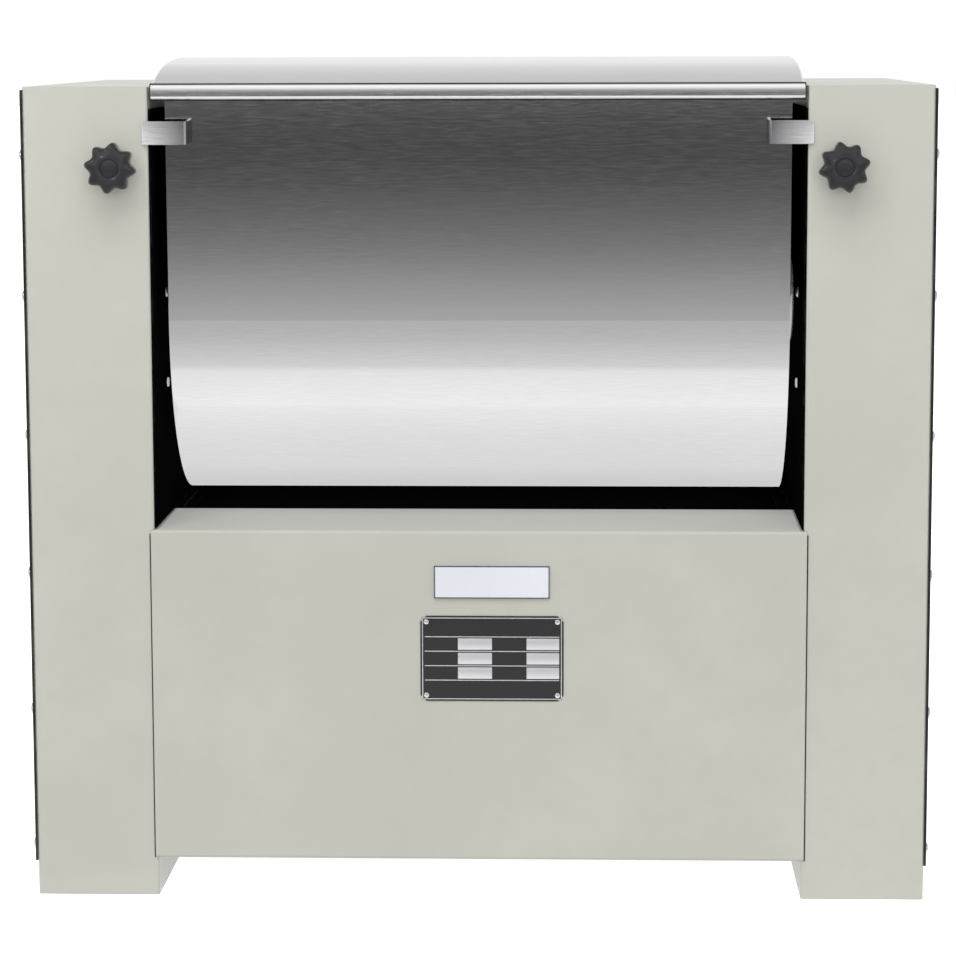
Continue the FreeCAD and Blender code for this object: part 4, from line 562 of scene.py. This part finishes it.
def add_knob(side):
    low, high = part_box(f"{side}_star_knob")
    middle = Vector(((low.x + high.x) / 2, FRAME_FRONT, (low.z + high.z) / 2))
    steps = KNOB_LOBES * KNOB_STEPS
    rings = []
    shape = bmesh.new()
    # Each row: distance from the column, share of the lobed outline, round radius where the share is 0
    rows = [(0.3, 0, 5.1), (0.3, 0, 12.6), (1.2, 0, 13.2), (KNOB_BACK - 2, 0, 13.2),
            (KNOB_BACK - 1, 0, 14.4), (KNOB_BACK, 0.84, 0), (KNOB_BACK + 0.5, 0.94, 0),
            (KNOB_BACK + 1.6, 0.99, 0), (KNOB_BACK + 4, 1, 0),
            (KNOB_FRONT - 5.4, 1, 0), (KNOB_FRONT - 3.8, 0.99, 0), (KNOB_FRONT - 2.8, 0.97, 0),
            (KNOB_FRONT - 2.05, 0.94, 0), (KNOB_FRONT - 1.55, 0.90, 0), (KNOB_FRONT - 1.25, 0.85, 0),
            (KNOB_FRONT - 1.0, 0.77, 0), (KNOB_FRONT - 0.55, 0, 12.8), (KNOB_FRONT - 0.2, 0, 12.2),
            (KNOB_FRONT, 0, 11.6), (KNOB_FRONT - 0.15, 0, 11.1), (KNOB_FRONT - 0.8, 0, 9.5),
            (KNOB_FRONT - 1.5, 0, 9.2), (KNOB_FRONT - 1.6, 0, 8.8), (KNOB_FRONT - 1.0, 0, 8.2),
            (KNOB_FRONT - 0.6, 0, 5.0), (KNOB_FRONT - 0.45, 0, 0)]
    for distance, share, radius in rows:
        count = steps if share or radius else 1
        ring = []
        for step in range(count):
            angle = 2 * math.pi * step / steps
            reach = (share * lobed(angle) if share else radius) * MILLIMETRE
            turned = angle + KNOB_TURN[side]
            ring.append(shape.verts.new(middle + Vector((reach * math.sin(turned), -distance * MILLIMETRE,
                                                         reach * math.cos(turned)))))
        rings.append(ring)
    join_rings(shape, rings)
    shape.faces.new(rings[0])
    add_piece(f"{side}_knob_shell", shape, knob_plastic, f"{side}_knob", "knob_plastic",
              f"{side}_star_knob")


# Push buttons and their bezels

def add_button(name, material, slot):
    low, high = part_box(name)
    front = Vector((low.x, (low.y + high.y) / 2, (low.z + high.z) / 2))
    depth = (high.x - low.x) / MILLIMETRE
    shape = bmesh.new()
    lathe(shape, front, (1, 0, 0),
          [(0.5, 0), (0.4, 3), (0.05, 7), (0, 8.6), (0.3, 9.7), (1.1, 10.5), (2.2, 10.8), (7.5, 10.8),
           (7.6, 10.6), (7.6, 3.8), (depth - 0.4, 3.7), (depth, 3.3), (depth, 0)])
    add_piece(f"{name}_cap", shape, material, name, slot, name)


def add_bezels():
    shape = bmesh.new()
    for low, high in solids_of("button_rings"):
        base = Vector((high.x, (low.y + high.y) / 2, (low.z + high.z) / 2))
        lathe(shape, base, (-1, 0, 0),
              [(0, 11.4), (0, 16), (3.2, 16), (4.6, 15.4), (5.7, 13.8), (6, 12.8), (5.6, 11.9),
               (4.8, 11.4)], closed=True)
    add_piece("button_bezels", shape, ring_plastic, "frame", "switch_tray", "button_rings")


# Cable gland

GLAND_LENGTH = 0.022
GLAND_RIBS = 14


def add_gland():
    low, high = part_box("cable_gland")
    middle = Vector(((low.x + high.x) / 2, high.y - GLAND_LENGTH, (low.z + high.z) / 2))
    shape = bmesh.new()
    lathe(shape, middle, (0, 1, 0),
          [(0, 4.6), (0, 12.3), (0.6, 12.7), (7.4, 12.7), (8, 12.3), (8, 9.6), (8, 4.6)], 6, closed=True)
    lathe(shape, middle, (0, 1, 0),
          [(7.9, 4.6), (7.9, 10.2), (15.2, 10.0), (17.4, 9.4), (19.6, 8.0), (21.2, 6.6), (22, 5.8),
           (21.6, 5.0), (20.4, 4.55)], closed=True)
    for number in range(GLAND_RIBS):
        angle = 2 * math.pi * number / GLAND_RIBS
        start = middle + Vector((10 * math.cos(angle), 9.4, 10 * math.sin(angle))) * MILLIMETRE
        lathe(shape, start, (0, 1, 0), [(0, 0), (0, 0.7), (0.4, 0.9), (4.4, 0.9), (5, 0.4), (5, 0)], 8)
    inner = Vector((middle.x, low.y, middle.z))
    lathe(shape, inner, (0, 1, 0), [(0, 4.6), (0, 7.4), (0.6, 7.9), (11.5, 7.9), (11.5, 4.6)], closed=True)
    add_piece("gland_body", shape, gland_plastic, "frame", "gland_plastic", "cable_gland")


# Round barrels over the hinges' straight-sided knuckles

def add_barrels():
    for name, body, material, slot, outer, radius in (
            ("leaf_barrels", "lid", lid_steel, "lid_steel", True, 7.6),
            ("bracket_barrels", "trough", trough_steel, "trough_steel", False, 7.5)):
        shape = bmesh.new()
        for low, high in solids_of("lid_hinge_pins"):
            middle = (low + high) / 2
            out = outward(middle) if outer else inward(middle)
            length = (high.x - low.x) / 2 / MILLIMETRE - 0.2
            lathe(shape, middle + out * 0.2 * MILLIMETRE, out, [(0, 4.15), (0, radius - 0.5), (0.5, radius),
                  (length - 0.5, radius), (length, radius - 0.5), (length, 4.15)], 48, closed=True)
        add_piece(name, shape, material, body, slot)


# Plates: a border round the badge, and blank fields on the rating plate

def add_badge_border():
    low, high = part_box("badge_plate")
    line = 0.0011
    front, back = low.y - 0.0003, low.y + 0.0016
    shape = bmesh.new()
    slab(shape, (low.x, front, high.z - line), (high.x, back, high.z), 0.0002)
    slab(shape, (low.x, front, low.z), (high.x, back, low.z + line), 0.0002)
    slab(shape, (low.x, front, low.z), (low.x + line, back, high.z), 0.0002)
    slab(shape, (high.x - line, front, low.z), (high.x, back, high.z), 0.0002)
    add_piece("badge_border", shape, badge_edge, "frame", "badge_metal")


def add_rating_fields():
    low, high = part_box("rating_plate")
    width, height = high.x - low.x, high.z - low.z
    front, back = low.y - 0.00015, low.y + 0.0003
    shape = bmesh.new()

    def patch(left, right, top, bottom):
        slab(shape, (low.x + left * width, front, high.z - bottom * height),
             (low.x + right * width, back, high.z - top * height), 0.00005)

    line_wide, line_tall = 0.006, 0.010
    patch(0.012, 0.988, 0.020, 0.020 + line_tall)
    patch(0.012, 0.988, 0.980 - line_tall, 0.980)
    patch(0.012, 0.012 + line_wide, 0.020, 0.980)
    patch(0.988 - line_wide, 0.988, 0.020, 0.980)
    for top in (0.245, 0.415, 0.585, 0.755):
        patch(0.03, 0.97, top - line_tall / 2, top + line_tall / 2)
    for top in (0.245, 0.415, 0.585):
        patch(0.262, 0.500, top + 0.018, top + 0.152)
        patch(0.742, 0.970, top + 0.018, top + 0.152)
    add_piece("rating_fields", shape, rating_print, "frame", "rating_metal")


# Black strips at the panel's sides and along the covers' edges: painted shadow lines in the joints

def add_shadow_line_strips():
    shape = bmesh.new()
    # Painted shadow lines: thin black strips beside the panel and on the covers' front, rear and top edges
    low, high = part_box("front_panel")
    for x, sign in ((low.x, -1), (high.x, 1)):
        edges = sorted((x, x + sign * 0.0013))
        slab(shape, (edges[0], FRAME_FRONT - 0.0009, low.z), (edges[1], FRAME_FRONT, high.z - 0.004),
             0.0003)
    for side in ("left", "right"):
        low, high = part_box(f"{side}_side_cover")
        front = low.y - 0.0009
        slab(shape, (low.x, front, low.z), (high.x, low.y, high.z), 0.0002)
        slab(shape, (low.x, high.y, low.z), (high.x, high.y + 0.0009, high.z), 0.0002)
        slab(shape, (low.x, front, high.z), (high.x, high.y + 0.0009, high.z + 0.0009), 0.0002)
    add_piece("edge_shadow_lines", shape, shadow_line_rubber, "frame", "belt_rubber")


# Polished bead along the lid's front, between black strips that paint its shadow lines

HEM_STEPS = 9
HEM_LEAN = math.radians(4.2)
HEM_FACE = (1.4, 13.4)


def hem_outline():
    """Distance in front of the skirt and height above its lower edge, in millimetres."""
    points = [(-0.4, 0.2), (0.2, -0.4), (1.0, -0.6), (1.8, -0.4), (2.25, 0.1), (2.3, 0.6), (2.05, 1.05)]
    bottom, top = HEM_FACE
    reach = 2.0
    for step in range(HEM_STEPS + 1):
        share = step / HEM_STEPS
        points.append((reach, bottom + share * (top - bottom)))
        reach -= math.tan(HEM_LEAN * share * share) * (top - bottom) / HEM_STEPS
    return points + [(reach - 0.3, top + 0.7), (reach - 1.0, top + 1.1), (-0.4, top + 1.1)]


def add_hem():
    low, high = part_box("lid")
    shape = bmesh.new()
    outline = hem_outline()
    middle = Vector((1.0, 7.0))
    overhang = 0.0012
    left, right = low.x - overhang, high.x + overhang
    rings = []
    for x, share in ((left, 0.0), (left, 0.86), (left + 0.0006, 1.0), (right - 0.0006, 1.0), (right, 0.86),
                     (right, 0.0)):
        points = outline if share else outline[:1]
        corners = [middle + (Vector(point) - middle) * share for point in points]
        rings.append([shape.verts.new((x, low.y - reach * MILLIMETRE, low.z + rise * MILLIMETRE))
                      for reach, rise in corners])
    join_rings(shape, rings)
    add_piece("lid_hem", shape, hem_steel, "lid", "lid_steel")
    # Painted shadow lines: black strips above and below the hem and at its ends
    hem_shadow_strips = bmesh.new()
    front, back = low.y - 0.0016, low.y + 0.0005
    slab(hem_shadow_strips, (left - 0.0004, front, low.z - 0.0019), (right + 0.0004, back, low.z - 0.0004), 0.0003)
    slab(hem_shadow_strips, (left - 0.0004, front, low.z + 0.0142), (right + 0.0004, back, low.z + 0.0153), 0.0003)
    slab(hem_shadow_strips, (left - 0.0008, front, low.z - 0.0019), (left + 0.0001, back, low.z + 0.0153), 0.0003)
    slab(hem_shadow_strips, (right - 0.0001, front, low.z - 0.0019), (right + 0.0008, back, low.z + 0.0153), 0.0003)
    add_piece("lid_hem_shadow_lines", hem_shadow_strips, shadow_line_rubber, "lid", "belt_rubber")


# Black angle strips along the deck's edges under the inner plates: painted shade over the column walls
# there

def add_painted_shade_strips():
    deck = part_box("base_deck")[1].z
    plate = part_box("right_inner_plate")
    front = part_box("front_panel")[1].y + 0.0005
    shape = bmesh.new()
    # Painted shade: black strips over the column wall below each inner plate and along the deck's edge
    for sign in SIGNS:
        for inner, outer, bottom, top in (
                (plate[0].x + 0.0002, plate[1].x - 0.0002, deck - 0.006, plate[0].z - 0.0002),
                (plate[0].x - 0.012, plate[1].x - 0.0004, deck + 0.0001, deck + 0.0015)):
            x = sorted((sign * inner, sign * outer))
            slab(shape, (x[0], front, bottom), (x[1], plate[1].y, top), 0.0003)
    add_piece("painted_shade_strips", shape, shade_black_enamel, "frame", "black_plate")


# Pressed hoods over the vents and screws along the rear panel

VENT_MIDDLE = 0.130
VENT_HALF = 0.045
VENT_FIRST = 0.120
VENT_PITCH = 0.032
VENT_COUNT = 6
# How far from a hood's end, in millimetres, and how much of its full height it has there
VENT_ENDS = ((-2.0, 0.03), (0.5, 0.45), (3.0, 0.8), (6.0, 0.97), (9.0, 1.0))
REAR_SCREW_INSET = 0.011
REAR_SCREW_FIRST = 0.030
REAR_SCREW_PITCH = 0.153
REAR_SCREW_COUNT = 5


def add_vent_hoods():
    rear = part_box("rear_panel")[1].y
    # Distance out of the panel and height above the slot's lower edge, in millimetres
    section = [(-0.2, 9.6), (0.5, 9.3), (1.6, 8.0), (2.9, 5.2), (3.7, 2.2), (3.9, 0.2), (3.2, 0.2),
               (2.9, 1.9), (2.1, 4.5), (0.9, 6.6), (-0.2, 7.2)]
    shape = bmesh.new()
    for sign in SIGNS:
        for row in range(VENT_COUNT):
            right = [(VENT_HALF - inset * MILLIMETRE, share) for inset, share in VENT_ENDS]
            left = [(-x, share) for x, share in right]
            loops = []
            for x, share in left + right[::-1]:
                loops.append([shape.verts.new((sign * VENT_MIDDLE + x, rear + out * share * MILLIMETRE,
                                               VENT_FIRST + row * VENT_PITCH + up * MILLIMETRE))
                              for out, up in section])
            join_rings(shape, loops)
            shape.faces.new(loops[0])
            shape.faces.new(loops[-1])
    add_piece("vent_hoods", shape, rear_enamel, "frame", "painted_sheet")


def add_rear_screws():
    low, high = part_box("rear_panel")
    spots = []
    for sign in SIGNS:
        for row in range(REAR_SCREW_COUNT):
            height = low.z + REAR_SCREW_FIRST + row * REAR_SCREW_PITCH
            spots.append((Vector((sign * (high.x - REAR_SCREW_INSET), high.y, height)), Vector((0, 1, 0))))
    head = screw_head(5.0, 2.2, screw_zinc)
    add_piece("rear_screw_heads", scatter(head, spots), screw_zinc, "frame", "fastener_steel")


add_screws()
add_hem()
add_painted_shade_strips()
add_vent_hoods()
add_rear_screws()
for knob_side in KNOB_TURN:
    add_knob(knob_side)
add_button("start_button", start_green, "start_colour")
add_button("stop_button", stop_red, "stop_colour")
add_bezels()
add_gland()
add_barrels()
add_badge_border()
add_rating_fields()
add_shadow_line_strips()


# Floor, cards and lights

def add_floor():
    """A wide pale floor that the machine stands on."""
    size = 40.0
    mesh = bpy.data.meshes.new("floor")
    corners = [(-size, -size, 0), (size, -size, 0), (size, size, 0), (-size, size, 0)]
    mesh.from_pydata(corners, [], [(0, 1, 2, 3)])
    floor = plain_object("floor", mesh)
    recipe = Recipe("floor_paper", Metallic=0.0, Emission_Color=(1, 1, 1, 1), Emission_Strength=FLOOR_GLOW)
    cloud = recipe.spread(recipe.noise(2, 4), 0.35, 0.65)
    colour = recipe.blend(cloud, tone(225, 225, 225), tone(220, 220, 220))
    mesh.materials.append(recipe.finish(colour, 0.75, recipe.relief(recipe.noise(90, 3), 0.1, 0.001)))
    floor.visible_diffuse = False


def card_material(name, direction, stops):
    """Light that changes along one axis of the card, given as (metres, level) stops."""
    material = bpy.data.materials.new(name)
    material.use_nodes = True
    tree = material.node_tree
    tree.nodes.clear()
    place = tree.nodes.new("ShaderNodeTexCoord")
    split = tree.nodes.new("ShaderNodeSeparateXYZ")
    span = tree.nodes.new("ShaderNodeMapRange")
    ramp = tree.nodes.new("ShaderNodeValToRGB")
    glow = tree.nodes.new("ShaderNodeEmission")
    end = tree.nodes.new("ShaderNodeOutputMaterial")
    low, high = stops[0][0], stops[-1][0]
    span.inputs["From Min"].default_value = low
    span.inputs["From Max"].default_value = high
    brightest = max(level for metres, level in stops)
    elements = ramp.color_ramp.elements
    while len(elements) < len(stops):
        elements.new(0.5)
    for element, (metres, level) in zip(elements, stops):
        element.position = (metres - low) / (high - low)
        element.color = (level / brightest, level / brightest, level / brightest, 1)
    glow.inputs["Strength"].default_value = brightest
    tree.links.new(place.outputs["Object"], split.inputs["Vector"])
    tree.links.new(split.outputs[direction], span.inputs["Value"])
    tree.links.new(span.outputs["Result"], ramp.inputs["Fac"])
    tree.links.new(ramp.outputs["Color"], glow.inputs["Color"])
    tree.links.new(glow.outputs["Emission"], end.inputs["Surface"])
    return material


def add_card(name, corners, direction, stops):
    """A studio card that only reflections see."""
    mesh = bpy.data.meshes.new(name)
    mesh.from_pydata(corners, [], [(0, 1, 2, 3)])
    mesh.materials.append(card_material(name, direction, stops))
    card = plain_object(name, mesh)
    for ray in ("camera", "diffuse", "transmission", "shadow", "volume_scatter"):
        setattr(card, f"visible_{ray}", False)


def level_card(name, half_width, start, end, height, stops):
    add_card(name, [(-half_width, start, height), (half_width, start, height), (half_width, end, height),
                    (-half_width, end, height)], "Y", stops)


def upright_card(name, half_width, depth, bottom, top, stops):
    add_card(name, [(-half_width, depth, bottom), (half_width, depth, bottom), (half_width, depth, top),
                    (-half_width, depth, top)], "Z", stops)


def side_card(name, x, start, end, bottom, top, stops):
    add_card(name, [(x, start, bottom), (x, end, bottom), (x, end, top), (x, start, top)], "Z", stops)


FLOOR_GLOW = 0.95
CARD_WIDE = 5.0
CARD_FAR = -5.0
CARD_LIFT = 0.004
SHELF_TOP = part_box("front_panel")[1].z
SHELF_FRONT = -0.274
GAP_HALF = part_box("right_inner_plate")[0].x - 0.0012
GAP_FRONT = -0.27
GAP_BACK = 0.20
GAP_TOP = 0.60
add_floor()
upright_card("front_card", CARD_WIDE, CARD_FAR, CARD_LIFT, 3.0,
             [(0.0, 0.23), (0.07, 0.175), (0.174, 0.094), (0.25, 0.060), (0.376, 0.074), (0.47, 0.08),
              (0.54, 1.0), (0.655, 1.0), (0.68, 0.13), (0.74, 0.14), (0.84, 0.24), (0.95, 0.42),
              (1.05, 0.80), (1.25, 1.05), (3.0, 0.9)])
level_card("ground_card", CARD_WIDE, CARD_FAR, -0.32, CARD_LIFT,
           [(CARD_FAR, 0.23), (-4.6, 0.34), (-4.25, 0.41), (-3.95, 0.52), (-2.4, 0.57), (-1.7, 0.62),
            (-1.2, 0.72), (-0.95, 0.80), (-0.86, 0.98), (-0.5, 1.08), (-0.32, 1.08)])
level_card("shelf_card", GAP_HALF, SHELF_FRONT, GAP_BACK, SHELF_TOP + 0.002,
           [(SHELF_FRONT, 1.05), (-0.2, 0.94), (-0.13, 0.88), (-0.07, 0.72), (0.05, 0.58), (GAP_BACK, 0.5)])
level_card("shelf_shade", GAP_HALF, SHELF_FRONT, GAP_BACK, SHELF_TOP + 0.001,
           [(SHELF_FRONT, 0.62), (GAP_BACK, 0.62)])
for side_name, side_x in (("left", -GAP_HALF), ("right", GAP_HALF)):
    side_card(f"{side_name}_gap_card", side_x, GAP_FRONT, GAP_BACK, SHELF_TOP + 0.002, GAP_TOP,
              [(SHELF_TOP, 0.95), (0.45, 0.9), (GAP_TOP, 0.7)])
upright_card("rear_card", 8.0, 6.0, CARD_LIFT, 6.0,
             [(0.0, 0.97), (0.85, 0.97), (1.9, 0.87), (3.0, 0.73), (4.6, 0.62), (6.0, 0.6)])


def add_area(name, place, target, size, power, reflected=False):
    data = bpy.data.lights.new(name, "AREA")
    data.shape = "RECTANGLE"
    data.size, data.size_y = size
    data.energy = power
    light = plain_object(name, data)
    light.location = place
    light.rotation_mode = "QUATERNION"
    light.rotation_quaternion = (Vector(target) - Vector(place)).to_track_quat("-Z", "Y")
    light.visible_camera = False
    light.visible_glossy = reflected


ROOM_LIGHT = 0.62
BACKDROP = 1.0


def light_scene():
    """A soft room with a white backdrop, a large key from above and weak lights round it."""
    scene = bpy.context.scene
    scene.view_settings.view_transform = "Standard"
    world = bpy.data.worlds.new("studio")
    world.use_nodes = True
    tree = world.node_tree
    background = tree.nodes["Background"]
    background.inputs["Color"].default_value = (1, 1, 1, 1)
    path = tree.nodes.new("ShaderNodeLightPath")
    level = tree.nodes.new("ShaderNodeMapRange")
    level.inputs["To Min"].default_value = ROOM_LIGHT
    level.inputs["To Max"].default_value = BACKDROP
    tree.links.new(path.outputs["Is Camera Ray"], level.inputs["Value"])
    tree.links.new(level.outputs["Result"], background.inputs["Strength"])
    scene.world = world
    add_area("key", (-0.2, -2.4, 3.4), (0, 0, 0.4), (3.0, 2.0), 55)
    add_area("front", (0.5, -5.4, 1.5), (0, 0, 0.5), (4.0, 1.6), 60)
    add_area("glint", (-1.7, -2.9, 2.3), (0, -0.3, 0.7), (0.45, 0.6), 7, reflected=True)
    add_area("left_side", (-3.4, -0.4, 1.6), (0, 0, 0.5), (1.6, 2.2), 20)
    add_area("right_side", (3.4, -0.4, 1.6), (0, 0, 0.5), (1.6, 2.2), 20)
    add_area("rear", (0, 3.2, 2.6), (0, 0, 0.6), (3.0, 1.6), 26)


light_scene()
